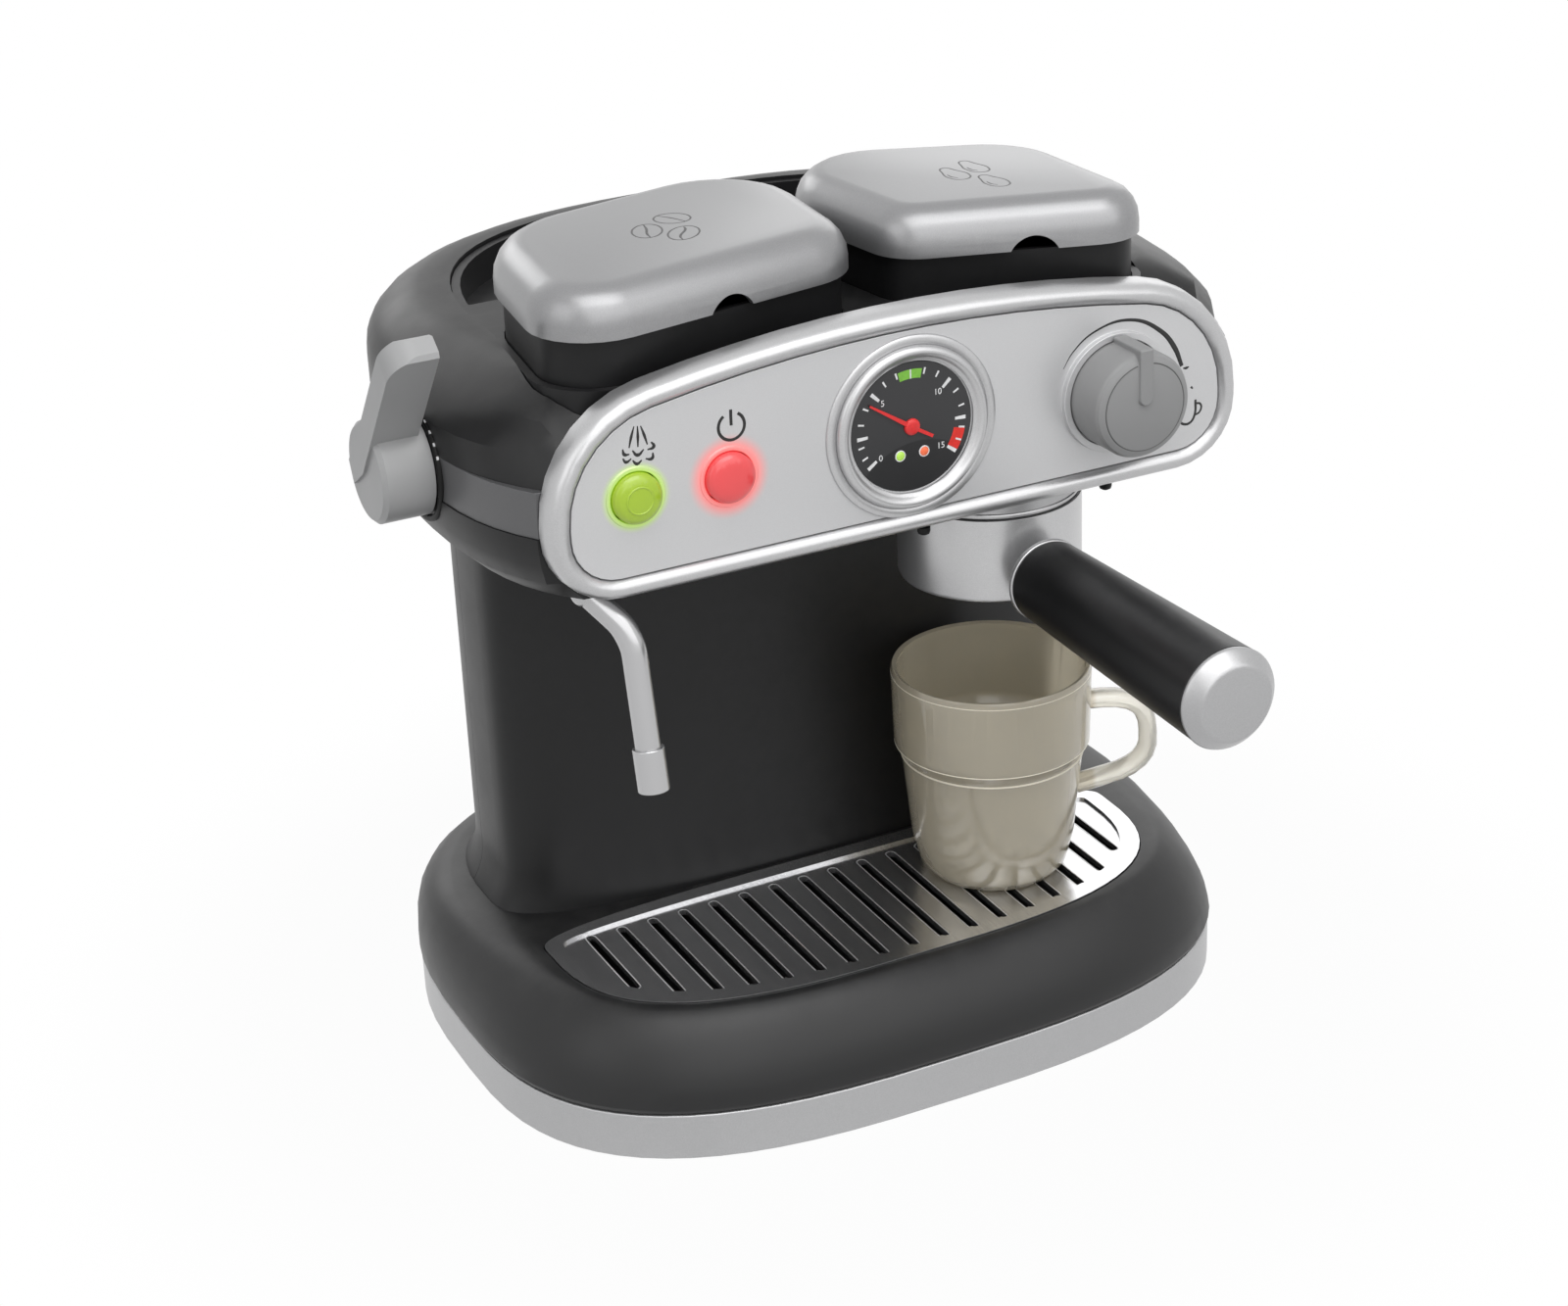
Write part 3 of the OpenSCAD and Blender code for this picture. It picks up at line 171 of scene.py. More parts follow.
def build_paint_flake():
    """Metal flake in silver paint: a sparkle of tiny cells over a slow cloudiness"""
    group, given, result = new_group(
        "paint_flake",
        [("Vector", "Vector", None), ("Flake Scale", "Float", 9000.0)],
        [("Sparkle", "Float"), ("Cloud", "Float"), ("Height", "Float")],
    )
    cells = group.nodes.new("ShaderNodeTexVoronoi")
    wire(group, given.outputs["Vector"], cells.inputs["Vector"])
    wire(group, given.outputs["Flake Scale"], cells.inputs["Scale"])
    split = group.nodes.new("ShaderNodeSeparateColor")
    wire(group, cells.outputs["Color"], split.inputs[0])
    wire(group, split.outputs[0], result.inputs["Sparkle"])
    cloud = noise(group, given.outputs["Vector"], 30.0, 3.0, 0.55)
    wire(group, ramped(group, cloud, 0.3, 0.7), result.inputs["Cloud"])
    wire(group, noise(group, given.outputs["Vector"], 1500.0, 2.0, 0.5), result.inputs["Height"])
    return group


EDGE_STARTS = 0.52  # pointiness above which a place counts as an outer edge


def build_edge_wear():
    """Where corners are handled: a mask on outer edges, broken up by noise"""
    group, given, result = new_group(
        "edge_wear",
        [("Vector", "Vector", None), ("Reach", "Float", 0.04)],
        [("Mask", "Float")],
    )
    geometry = group.nodes.new("ShaderNodeNewGeometry")
    top = calc(group, "ADD", given.outputs["Reach"], EDGE_STARTS)
    edge = ramped(group, geometry.outputs["Pointiness"], EDGE_STARTS, top)
    broken = ramped(group, noise(group, given.outputs["Vector"], 240.0, 4.0, 0.7), 0.35, 0.6)
    wire(group, calc(group, "MULTIPLY", edge, broken, True), result.inputs["Mask"])
    return group


def build_settled_dust():
    """Thin dust on faces that look up"""
    group, given, result = new_group(
        "settled_dust", [("Vector", "Vector", None)], [("Mask", "Float")]
    )
    geometry = group.nodes.new("ShaderNodeNewGeometry")
    split = group.nodes.new("ShaderNodeSeparateXYZ")
    wire(group, geometry.outputs["Normal"], split.inputs[0])
    facing = ramped(group, split.outputs[2], 0.55, 1.0)
    patches = ramped(group, noise(group, given.outputs["Vector"], 110.0, 5.0, 0.65), 0.4, 0.75)
    wire(group, calc(group, "MULTIPLY", facing, patches, True), result.inputs["Mask"])
    return group


def build_brushed_lines():
    """Lines left by brushing along Y"""
    group, given, result = new_group(
        "brushed_lines", [("Vector", "Vector", None)], [("Height", "Float"), ("Tone", "Float")]
    )
    stretch = group.nodes.new("ShaderNodeVectorMath")
    stretch.operation = "MULTIPLY"
    stretch.inputs[1].default_value = (1.0, 0.03, 1.0)
    wire(group, given.outputs["Vector"], stretch.inputs[0])
    lines = noise(group, stretch.outputs[0], 1800.0, 3.0, 0.6)
    wire(group, lines, result.inputs["Height"])
    wire(group, ramped(group, lines, 0.3, 0.7), result.inputs["Tone"])
    return group


def build_lamp_halo():
    """Soft round patch on an upright face: a lit button's glow, or one end of a printed arc"""
    group, given, result = new_group(
        "lamp_halo",
        [("Vector", "Vector", None), ("Across", "Float", 0.0), ("Up", "Float", 0.0),
         ("Core", "Float", 0.006), ("Reach", "Float", 0.011)],
        [("Mask", "Float")],
    )
    split = group.nodes.new("ShaderNodeSeparateXYZ")
    wire(group, given.outputs["Vector"], split.inputs[0])
    distance = distance_from(group, split.outputs[0], split.outputs[2],
                             given.outputs["Across"], given.outputs["Up"])
    fade = ramped(group, distance, given.outputs["Core"], given.outputs["Reach"], 1.0, 0.0, True)
    wire(group, fade, result.inputs["Mask"])
    return group


moulded_grain = build_moulded_grain()
paint_flake = build_paint_flake()
edge_wear = build_edge_wear()
settled_dust = build_settled_dust()
brushed_lines = build_brushed_lines()
lamp_halo = build_lamp_halo()


# ---- finishes ----------------------------------------------------------------------
SKIN_DEPTH = 0.00001  # depth of grain, flake and brushing, in metres
GLOSS_SWING = 0.03
PAINT_COAT = 0.1
DUST_GREY = (0.42, 0.41, 0.40)


def new_finish(name):
    """A material with its shader and the place on the piece that its patterns follow"""
    material = bpy.data.materials.new(name)
    material.use_nodes = True
    tree = material.node_tree
    shader = tree.nodes["Principled BSDF"]
    place = tree.nodes.new("ShaderNodeTexCoord").outputs["Object"]
    return material, tree, shader, place


def use_effect(tree, group, place, **values):
    node = tree.nodes.new("ShaderNodeGroup")
    node.node_tree = group
    wire(tree, place, node.inputs["Vector"])
    for label, value in values.items():
        node.inputs[label.replace("_", " ")].default_value = value
    return node.outputs


def raise_bump(tree, shader, height, strength, depth):
    bump = tree.nodes.new("ShaderNodeBump")
    bump.inputs["Strength"].default_value = strength
    bump.inputs["Distance"].default_value = depth
    wire(tree, height, bump.inputs["Height"])
    wire(tree, bump.outputs["Normal"], shader.inputs["Normal"])


def plastic(name, colour, rough, tone=0.10, grain=2600.0, depth=SKIN_DEPTH, shine=0.5,
            worn=(0.35, 0.35, 0.36), wear=0.03, dust=0.03, coat=0.0, glow=None):
    """Moulded plastic with grain, slow tone changes, handled edges and a little dust"""
    material, tree, shader, place = new_finish(name)
    skin = use_effect(tree, moulded_grain, place, Grain_Scale=grain)
    edge = use_effect(tree, edge_wear, place)
    film = use_effect(tree, settled_dust, place)
    deep = tuple(channel * (1.0 - tone) for channel in colour)
    light = tuple(min(1.0, channel * (1.0 + tone)) for channel in colour)
    shade = tinted(tree, skin["Tone"], deep, light)
    shade = tinted(tree, calc(tree, "MULTIPLY", edge["Mask"], wear), shade, worn)
    shade = tinted(tree, calc(tree, "MULTIPLY", film["Mask"], dust), shade, DUST_GREY)
    wire(tree, shade, shader.inputs["Base Color"])
    swing = calc(tree, "MULTIPLY", skin["Gloss"], GLOSS_SWING)
    wire(tree, calc(tree, "ADD", swing, rough, True), shader.inputs["Roughness"])
    raise_bump(tree, shader, skin["Height"], 0.35, depth)
    shader.inputs["Specular IOR Level"].default_value = shine
    shader.inputs["Coat Weight"].default_value = coat
    shader.inputs["Coat Roughness"].default_value = 0.12
    if glow:
        shader.inputs["Emission Color"].default_value = (*glow[0], 1.0)
        shader.inputs["Emission Strength"].default_value = glow[1]
    return material


def silver_paint(name, colour, rough, metal, sparkle=0.08, cloud=0.03, wear=0.03):
    """Sprayed silver: flake sparkle, slight cloudiness, wear on the handled edges"""
    material, tree, shader, place = new_finish(name)
    flake = use_effect(tree, paint_flake, place)
    edge = use_effect(tree, edge_wear, place)
    dark = tuple(channel * (1.0 - sparkle) for channel in colour)
    light = tuple(min(1.0, channel * (1.0 + sparkle)) for channel in colour)
    shade = tinted(tree, flake["Sparkle"], dark, light)
    shade = tinted(tree, calc(tree, "MULTIPLY", flake["Cloud"], cloud * 2), shade,
                   tuple(channel * 0.7 for channel in colour))
    shade = tinted(tree, calc(tree, "MULTIPLY", edge["Mask"], wear), shade, (0.9, 0.9, 0.9))
    wire(tree, shade, shader.inputs["Base Color"])
    spread = ramped(tree, flake["Sparkle"], 0.0, 1.0, rough - 0.02, rough + 0.03)
    wire(tree, spread, shader.inputs["Roughness"])
    shader.inputs["Metallic"].default_value = metal
    shader.inputs["Coat Weight"].default_value = PAINT_COAT
    shader.inputs["Coat Roughness"].default_value = 0.22
    raise_bump(tree, shader, flake["Height"], 0.06, SKIN_DEPTH)
    return material


def plated(name, colour, rough):
    """Bright plated or steel parts with faint brushing"""
    material, tree, shader, place = new_finish(name)
    lines = use_effect(tree, brushed_lines, place)
    edge = use_effect(tree, edge_wear, place)
    shade = tinted(tree, lines["Tone"], tuple(channel * 0.88 for channel in colour), colour)
    shade = tinted(tree, calc(tree, "MULTIPLY", edge["Mask"], 0.2), shade, (0.95, 0.95, 0.95))
    wire(tree, shade, shader.inputs["Base Color"])
    wire(tree, ramped(tree, lines["Tone"], 0.0, 1.0, rough, rough + 0.08), shader.inputs["Roughness"])
    shader.inputs["Metallic"].default_value = 0.95
    raise_bump(tree, shader, lines["Height"], 0.10, SKIN_DEPTH)
    return material


def ink(name, colour, glow=0.0, rough=0.4):
    """Printed ink with slightly uneven cover"""
    material, tree, shader, place = new_finish(name)
    cover = ramped(tree, noise(tree, place, 900.0, 3.0, 0.6), 0.3, 0.7)
    shade = tinted(tree, cover, tuple(channel * 0.82 for channel in colour), colour)
    wire(tree, shade, shader.inputs["Base Color"])
    wire(tree, ramped(tree, cover, 0.0, 1.0, rough, rough + 0.1), shader.inputs["Roughness"])
    # A glow given to printed ink is painted light: the ink is no lamp
    if glow:
        shader.inputs["Emission Color"].default_value = (*colour, 1.0)
        shader.inputs["Emission Strength"].default_value = glow
    return material


shell_black = plastic("shell_black", (0.0080, 0.0080, 0.0084), 0.40, shine=0.30, worn=(0.07, 0.07, 0.075))
base_black = plastic("base_black", (0.0088, 0.0088, 0.0092), 0.42, shine=0.42, worn=(0.07, 0.07, 0.075))
deck_black = plastic("deck_black", (0.0085, 0.0085, 0.0090), 0.42, shine=0.30, worn=(0.06, 0.06, 0.065))
handle_black = plastic("handle_black", (0.0075, 0.0075, 0.0080), 0.36, shine=0.35, dust=0.02,
                       worn=(0.05, 0.05, 0.055))
liner_black = plastic("liner_black", (0.0075, 0.0075, 0.0080), 0.45, shine=0.25, worn=(0.05, 0.05, 0.05))
silver_band = silver_paint("silver_band", (0.44, 0.44, 0.445), 0.40, 0.7, cloud=0.01)
silver_bezel = silver_paint("silver_bezel", (0.50, 0.50, 0.505), 0.34, 0.80, cloud=0.01)
silver_cap = silver_paint("silver_cap", (0.42, 0.42, 0.425), 0.36, 0.80, cloud=0.01)
silver_lid = silver_paint("silver_lid", (0.28, 0.28, 0.285), 0.33, 0.60, cloud=0.01)
silver_bowl = silver_paint("silver_bowl", (0.55, 0.55, 0.555), 0.33, 0.8, cloud=0.01)
bright_grille = plated("bright_grille", (0.70, 0.70, 0.71), 0.17)
band_grey = silver_paint("band_grey", (0.115, 0.115, 0.118), 0.42, 0.4, cloud=0.0, wear=0.0)
knob_grey = plastic("knob_grey", (0.260, 0.260, 0.260), 0.38, tone=0.03, worn=(0.4, 0.4, 0.4),
                    wear=0.06, dust=0.0)
lever_grey = plastic("lever_grey", (0.36, 0.36, 0.36), 0.38, tone=0.03, worn=(0.45, 0.45, 0.45),
                     wear=0.06, dust=0.0)
natural_white = plastic("natural_white", (0.72, 0.71, 0.66), 0.45, tone=0.05)
hose_clear = plastic("hose_clear", (0.78, 0.80, 0.82), 0.3, tone=0.05)
rubber_black = plastic("rubber_black", (0.02, 0.02, 0.02), 0.75, grain=1400.0, depth=0.00004)
steel_screw = plated("steel_screw", (0.62, 0.62, 0.64), 0.28)
board_green = plastic("board_green", (0.03, 0.20, 0.08), 0.4, tone=0.12)
battery_wrap = plastic("battery_wrap", (0.50, 0.34, 0.08), 0.25, tone=0.15, coat=0.4)
green_lens = plastic("green_lens", (0.32, 0.46, 0.015), 0.3, tone=0.05, dust=0.0, coat=0.5,
                     glow=((0.42, 0.70, 0.02), 0.12))
red_lens = plastic("red_lens", (0.63, 0.05, 0.055), 0.3, tone=0.05, dust=0.0, coat=0.5,
                   glow=((0.90, 0.08, 0.08), 0.25))
# Opaque cream, paler than the cup's own plastic: painted highlight on its ridges and rim
cup_ridge_painted_highlight = plastic("cup_ridge_painted_highlight", (0.78, 0.73, 0.61), 0.30, tone=0.02, dust=0.0, wear=0.0,
                          coat=0.3)
silver_wand = silver_paint("silver_wand", (0.47, 0.47, 0.475), 0.24, 0.75, sparkle=0.01, cloud=0.0,
                           wear=0.0)
# Silver paler than the grille's metal, for the slot lips: painted highlight on the slot edges
slot_lip_painted_highlight = silver_paint("slot_lip_painted_highlight", (0.78, 0.78, 0.785), 0.28, 0.7, sparkle=0.03, cloud=0.0)
seam_black = plastic("seam_black", (0.006, 0.006, 0.006), 0.5, shine=0.2, dust=0.0, wear=0.0)
# Dark grey for the knob face's groove line: painted shade
knob_groove_shade_grey = plastic("knob_groove_shade_grey", (0.085, 0.085, 0.085), 0.40, tone=0.02, dust=0.0, wear=0.0)
ink_black = ink("ink_black", (0.006, 0.006, 0.006))
ink_white = ink("ink_white", (0.85, 0.85, 0.85))
ink_green = ink("ink_green", (0.22, 0.55, 0.06))
ink_red = ink("ink_red", (0.78, 0.03, 0.02))
ink_line = ink("ink_line", (0.05, 0.05, 0.05))
needle_red = ink("needle_red", (0.80, 0.03, 0.03), rough=0.3)
# Inks for the dial's two printed dots, which glow with painted light
green_dot_ink_painted_glow = ink("green_dot_ink_painted_glow", (0.45, 0.75, 0.10), glow=0.2, rough=0.2)
red_dot_ink_painted_glow = ink("red_dot_ink_painted_glow", (0.85, 0.16, 0.06), glow=0.2, rough=0.2)

# Places that both finishes and pieces follow, in millimetres
GREEN_X, RED_X, CONTROL_Z = -75.5, -50.6, 184.5
CUP_X, CUP_Y = 40.0, -31.0
CUP_WALL, HANDLE_STARTS = 27.7, 29.5


def round_patch(tree, place, x, z, core, reach):
    """Mask of a round patch on the front, full inside the core and gone at the reach"""
    sizes = {"Across": x * MM, "Up": z * MM, "Core": core * MM, "Reach": reach * MM}
    return use_effect(tree, lamp_halo, place, **sizes)["Mask"]


def panel_finish():
    """Front panel: pale silver with fine speckle and the two buttons' light on it"""
    material, tree, shader, place = new_finish("panel_silver")
    flake = use_effect(tree, paint_flake, place)
    shade = tinted(tree, flake["Sparkle"], (0.56, 0.56, 0.565), (0.60, 0.60, 0.605))
    shade = tinted(tree, calc(tree, "MULTIPLY", flake["Cloud"], 0.05), shade, (0.47, 0.47, 0.48))
    green = round_patch(tree, place, GREEN_X, CONTROL_Z, 6.6, 9.5)
    red = round_patch(tree, place, RED_X, CONTROL_Z, 6.6, 11.5)
    shade = tinted(tree, calc(tree, "MULTIPLY", green, 0.75), shade, (0.50, 0.74, 0.10))
    shade = tinted(tree, calc(tree, "MULTIPLY", red, 0.80), shade, (0.92, 0.22, 0.20))
    wire(tree, shade, shader.inputs["Base Color"])
    light = tinted(tree, green, (0.0, 0.0, 0.0), (0.10, 0.17, 0.01))
    light = tinted(tree, red, light, (0.28, 0.03, 0.03))
    wire(tree, light, shader.inputs["Emission Color"])
    shader.inputs["Emission Strength"].default_value = 1.0
    wire(tree, ramped(tree, flake["Sparkle"], 0.0, 1.0, 0.36, 0.44), shader.inputs["Roughness"])
    shader.inputs["Metallic"].default_value = 0.45
    raise_bump(tree, shader, flake["Height"], 0.08, SKIN_DEPTH)
    return material


def dial_finish():
    """Gauge dial: near black, a little darker below a printed arc"""
    material, tree, shader, place = new_finish("dial_black")
    skin = use_effect(tree, moulded_grain, place, Grain_Scale=3200.0)
    low = round_patch(tree, place, 1.9, 162.2, 20.6, 21.0)
    shade = tinted(tree, skin["Tone"], (0.020, 0.020, 0.021), (0.030, 0.030, 0.032))
    shade = tinted(tree, low, shade, (0.009, 0.009, 0.010))
    wire(tree, shade, shader.inputs["Base Color"])
    wire(tree, ramped(tree, skin["Gloss"], -1.0, 1.0, 0.30, 0.36), shader.inputs["Roughness"])
    raise_bump(tree, shader, skin["Height"], 0.3, SKIN_DEPTH)
    return material


def cup_finish():
    """Milky clear cup: warm wall, and a paler handle where light comes through from all sides"""
    material, tree, shader, place = new_finish("cup_pearl")
    skin = use_effect(tree, moulded_grain, place, Grain_Scale=900.0)
    split = tree.nodes.new("ShaderNodeSeparateXYZ")
    wire(tree, place, split.inputs[0])
    radius = distance_from(tree, split.outputs[0], split.outputs[1], CUP_X * MM, CUP_Y * MM)
    handle = ramped(tree, radius, CUP_WALL * MM, HANDLE_STARTS * MM, 0.0, 1.0, True)
    wall = tinted(tree, skin["Tone"], (0.70, 0.645, 0.515), (0.73, 0.675, 0.545))
    wire(tree, tinted(tree, handle, wall, (0.94, 0.91, 0.82)), shader.inputs["Base Color"])
    wire(tree, ramped(tree, skin["Gloss"], -1.0, 1.0, 0.17, 0.23), shader.inputs["Roughness"])
    shader.inputs["Transmission Weight"].default_value = 0.60
    shader.inputs["Coat Weight"].default_value = 0.5
    shader.inputs["Coat Roughness"].default_value = 0.10
    raise_bump(tree, shader, skin["Height"], 0.2, SKIN_DEPTH)
    return material


panel_silver = panel_finish()
cup_pearl = cup_finish()
dial_black = dial_finish()


# ---- piece helpers ------------------------------------------------------------------
SHARP_ANGLE, TURNED_CREASE = 35, 50
SLIVER, DRAWN_MERGE, TUBE_MERGE = 0.002, 0.0001, 0.001  # in millimetres
NODE_MERGE = 0.000002  # in metres


def finish_piece(name, mesh, body, material, stands_for=()):
    """Links a piece, gives it its finish, and lets it ride on its body"""
    piece = bpy.data.objects.new(name, mesh)
    bpy.context.scene.collection.objects.link(piece)
    mesh.materials.clear()
    mesh.materials.append(material)
    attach(piece, body)
    if stands_for:
        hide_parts(*stands_for)
    return piece


def mesh_from(shape, name, crease=None):
    """Turns a bmesh into a mesh, smooth except at edges sharper than the crease angle"""
    bmesh.ops.recalc_face_normals(shape, faces=shape.faces)
    soften(shape, crease)
    mesh = bpy.data.meshes.new(name)
    shape.to_mesh(mesh)
    shape.free()
    return mesh


def soften(shape, crease):
    """Smooth shading, but for edges sharper than the crease angle"""
    if crease is None:
        return
    for face in shape.faces:
        face.smooth = True
    for edge in shape.edges:
        edge.smooth = edge.is_manifold and edge.calc_face_angle(0.0) < math.radians(crease)


def round_edges(piece, width, segments):
    """Small radius on the piece's sharp edges, with the slivers that it leaves welded away"""
    bevel = piece.modifiers.new("edge_radius", "BEVEL")
    bevel.width = width * MM
    bevel.segments = segments
    bevel.limit_method = "ANGLE"
    bevel.angle_limit = math.radians(SHARP_ANGLE)
    bevel.harden_normals = True
    weld = piece.modifiers.new("edge_weld", "WELD")
    weld.merge_threshold = SLIVER * MM


def moulding(node, material, crease=32, radius=None, segments=2):
    """The node's own shape as one merged, smooth-shaded moulding with small edge radii"""
    source = frame["nodes"][node]
    shape = bmesh.new()
    shape.from_mesh(source.data)
    bmesh.ops.remove_doubles(shape, verts=shape.verts, dist=NODE_MERGE)
    bmesh.ops.dissolve_limit(shape, angle_limit=math.radians(0.3), verts=shape.verts,
                             edges=shape.edges, use_dissolve_boundaries=False, delimit={"NORMAL"})
    soften(shape, crease)
    mesh = bpy.data.meshes.new(node + "_moulding")
    shape.to_mesh(mesh)
    shape.free()
    piece = finish_piece(node + "_moulding", mesh, body_of_node[node], material,
                         (node,))
    if radius:
        round_edges(piece, radius, segments)


def to_metres(shape):
    bmesh.ops.scale(shape, vec=(MM, MM, MM), verts=shape.verts)


def turn_about(shape, verts, degrees, axis="Z"):
    bmesh.ops.rotate(shape, cent=(0, 0, 0), matrix=Matrix.Rotation(math.radians(degrees), 3, axis),
                     verts=verts)


def on_circle(x, y, radius, degrees):
    """The point at an angle on a circle about x and y"""
    return x + radius * math.cos(math.radians(degrees)), y + radius * math.sin(math.radians(degrees))


def placed(shape, across, up, out, origin):
    """Moves a flat-drawn shape onto the object: its x, y and z become the three given directions"""
    turn = Matrix((across, up, out)).transposed().to_4x4()
    bmesh.ops.transform(shape, matrix=Matrix.Translation(origin) @ turn, verts=shape.verts)


def on_panel(shape, x, z, y):
    """Stands a flat-drawn shape up to face the front"""
    placed(shape, (1, 0, 0), (0, 0, 1), (0, -1, 0), (x * MM, y * MM, z * MM))


def on_top(shape, height):
    """Lays a flat-drawn shape down to face up, at a height in metres"""
    placed(shape, (1, 0, 0), (0, 1, 0), (0, 0, 1), (0, 0, height))


def shape_of_curve(curve, merge):
    """A curve or a text as a closed shape, with its doubled points merged"""
    holder = bpy.data.objects.new(curve.name, curve)
    bpy.context.scene.collection.objects.link(holder)
    bpy.context.view_layer.update()
    mesh = bpy.data.meshes.new_from_object(holder.evaluated_get(bpy.context.evaluated_depsgraph_get()))
    bpy.data.objects.remove(holder)
    bpy.data.curves.remove(curve)
    shape = bmesh.new()
    shape.from_mesh(mesh)
    bpy.data.meshes.remove(mesh)
    bmesh.ops.remove_doubles(shape, verts=shape.verts, dist=merge)
    return shape


def drawn_strokes(strokes, thin=0.12):
    """Pen strokes of changing width, as one flat mesh in the drawing plane, in millimetres"""
    pen = bpy.data.curves.new("pen", "CURVE")
    pen.dimensions = "3D"
    pen.bevel_depth = 0.5
    pen.bevel_resolution = 1
    pen.resolution_u = 8
    pen.use_fill_caps = True
    for points, widths, closed in strokes:
        line = pen.splines.new("BEZIER")
        line.bezier_points.add(len(points) - 1)
        for index, (point, (x, y)) in enumerate(zip(line.bezier_points, points)):
            point.co = (x, y, 0)
            point.radius = 1.2 * widths[min(index, len(widths) - 1)]
            point.handle_left_type = point.handle_right_type = "AUTO"
        line.use_cyclic_u = closed
    shape = shape_of_curve(pen, DRAWN_MERGE)
    bmesh.ops.scale(shape, vec=(MM, MM, thin * MM), verts=shape.verts)
    return shape


body_of_node = {
    node: body for body, nodes in frame["record"]["behaviour"]["bodies"].items() for node in nodes
}

# ---- mouldings and plain inner parts --------------------------------------------------
moulding("base_band", silver_band, radius=0.5)
moulding("base_cover", base_black)
moulding("column_front", shell_black)
moulding("rear_cover", shell_black)
moulding("head_lower", shell_black)
moulding("head_band", band_grey, radius=0.3)
moulding("head_upper", shell_black)
moulding("top_deck", deck_black)
moulding("drip_grille", bright_grille, radius=0.45, segments=3)
moulding("drip_tray", liner_black)
moulding("fascia_bezel", silver_bezel, crease=60)
moulding("gauge_ring", silver_bezel, crease=60)
moulding("bean_box", liner_black)
moulding("water_tank", liner_black)
moulding("bean_lid", silver_lid, crease=50)
moulding("water_lid", silver_lid, crease=50)
moulding("steam_lever", lever_grey, radius=1.0, segments=3)
moulding("brew_knob", knob_grey, radius=0.5, segments=3)
moulding("portafilter_bowl", silver_bowl, crease=50, radius=0.4)
moulding("group_head", silver_band, radius=0.3)
moulding("portafilter_handle", handle_black, radius=0.6)
moulding("handle_cap", silver_cap, crease=50)
moulding("handle_ring", silver_bezel, radius=0.5)
moulding("wand_tip", silver_wand, radius=0.4)
moulding("cup", cup_pearl, crease=40)
moulding("green_button", green_lens, crease=60)
moulding("red_button", red_lens, crease=60)
moulding("fascia_panel", panel_silver, radius=0.4)

PLAIN_FINISH = {
    "base_plate": liner_black, "base_screws": steel_screw, "battery_door": liner_black,
    "door_screw": steel_screw, "batteries": battery_wrap, "battery_contacts": steel_screw,
    "rear_screws": steel_screw, "speaker": steel_screw, "gauge_dial": dial_black,
    "knob_shaft": natural_white, "valve_body": natural_white, "valve_seal": rubber_black,
    "inlet_seal": rubber_black, "group_hose": hose_clear, "lever_shaft": natural_white,
    "lever_bushing": natural_white, "circuit_board": board_green, "tact_switches": liner_black,
    "leds": natural_white, "shower_disc": natural_white, "bowl_spout": liner_black,
    "wand_socket": liner_black, "bean_hinge_pin": steel_screw, "water_hinge_pin": steel_screw,
}
for node, material in PLAIN_FINISH.items():
    frame["nodes"][node].data.materials.clear()
    frame["nodes"][node].data.materials.append(material)

# ---- gauge --------------------------------------------------------------------------
DIAL_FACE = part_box("gauge_dial")[0][1] / MM
DIAL_Z = (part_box("gauge_dial")[0][2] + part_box("gauge_dial")[1][2]) / 2 / MM
PANEL_FACE = -62.4


def turned_bar(shape, radius_in, radius_out, width, degrees, thick, width_out=None):
    """A flat bar that points away from the centre, at an angle"""
    made = bmesh.ops.create_cube(shape, size=1.0)["verts"]
    bmesh.ops.scale(shape, vec=(radius_out - radius_in, width, thick), verts=made)
    if width_out is not None:
        far = [vert for vert in made if vert.co.x > 0]
        bmesh.ops.scale(shape, vec=(1, width_out / width, 1), verts=far)
    bmesh.ops.translate(shape, vec=((radius_in + radius_out) / 2, 0, 0), verts=made)
    turn_about(shape, made, degrees)


def dial_arc(shape, radius_in, radius_out, first, last, thick):
    """A flat strip between two radii and two angles: one standing face swept about the dial's axis"""
    end = bmesh.ops.create_grid(shape, x_segments=1, y_segments=1, size=0.5)["verts"]
    bmesh.ops.scale(shape, vec=(radius_out - radius_in, thick, 1), verts=end)
    turn_about(shape, end, 90, "X")
    bmesh.ops.translate(shape, vec=((radius_in + radius_out) / 2, 0, 0), verts=end)
    turn_about(shape, end, first)
    faces = list({face for vert in end for face in vert.link_faces})
    edges = list({edge for face in faces for edge in face.edges})
    bmesh.ops.spin(shape, geom=end + edges + faces, cent=(0, 0, 0), axis=(0, 0, 1),
                   angle=math.radians(last - first), steps=16, use_duplicate=False)


def printed_on_dial(name, shape, material, lift=0.0):
    to_metres(shape)
    on_panel(shape, 0, DIAL_Z, DIAL_FACE - lift)
    finish_piece(name, mesh_from(shape, name), "machine", material)


LONG_TICKS = (215.5, 182.0, 136.4, 43.6, -1.6, -36.0)
SHORT_TICKS = (204.0, 191.5, 167.5, 151.4, 120.5, 106.0, 74.4, 58.8, 28.9, 11.5, -11.6, -24.5)
TICK_OUTER, LONG_INNER, SHORT_INNER, TICK_THICK = 15.4, 12.4, 13.7, 0.08
ZONE_OUTER, ZONE_INNER, ZONE_THICK = 15.1, 12.7, 0.06
ticks = bmesh.new()
for angle in LONG_TICKS:
    turned_bar(ticks, LONG_INNER, TICK_OUTER, 0.75, angle, TICK_THICK, 1.0)
for angle in SHORT_TICKS:
    turned_bar(ticks, SHORT_INNER, TICK_OUTER, 0.42, angle, TICK_THICK, 0.5)
turned_bar(ticks, ZONE_INNER, ZONE_OUTER, 0.42, 90.0, ZONE_THICK * 2)
printed_on_dial("dial_ticks", ticks, ink_white)

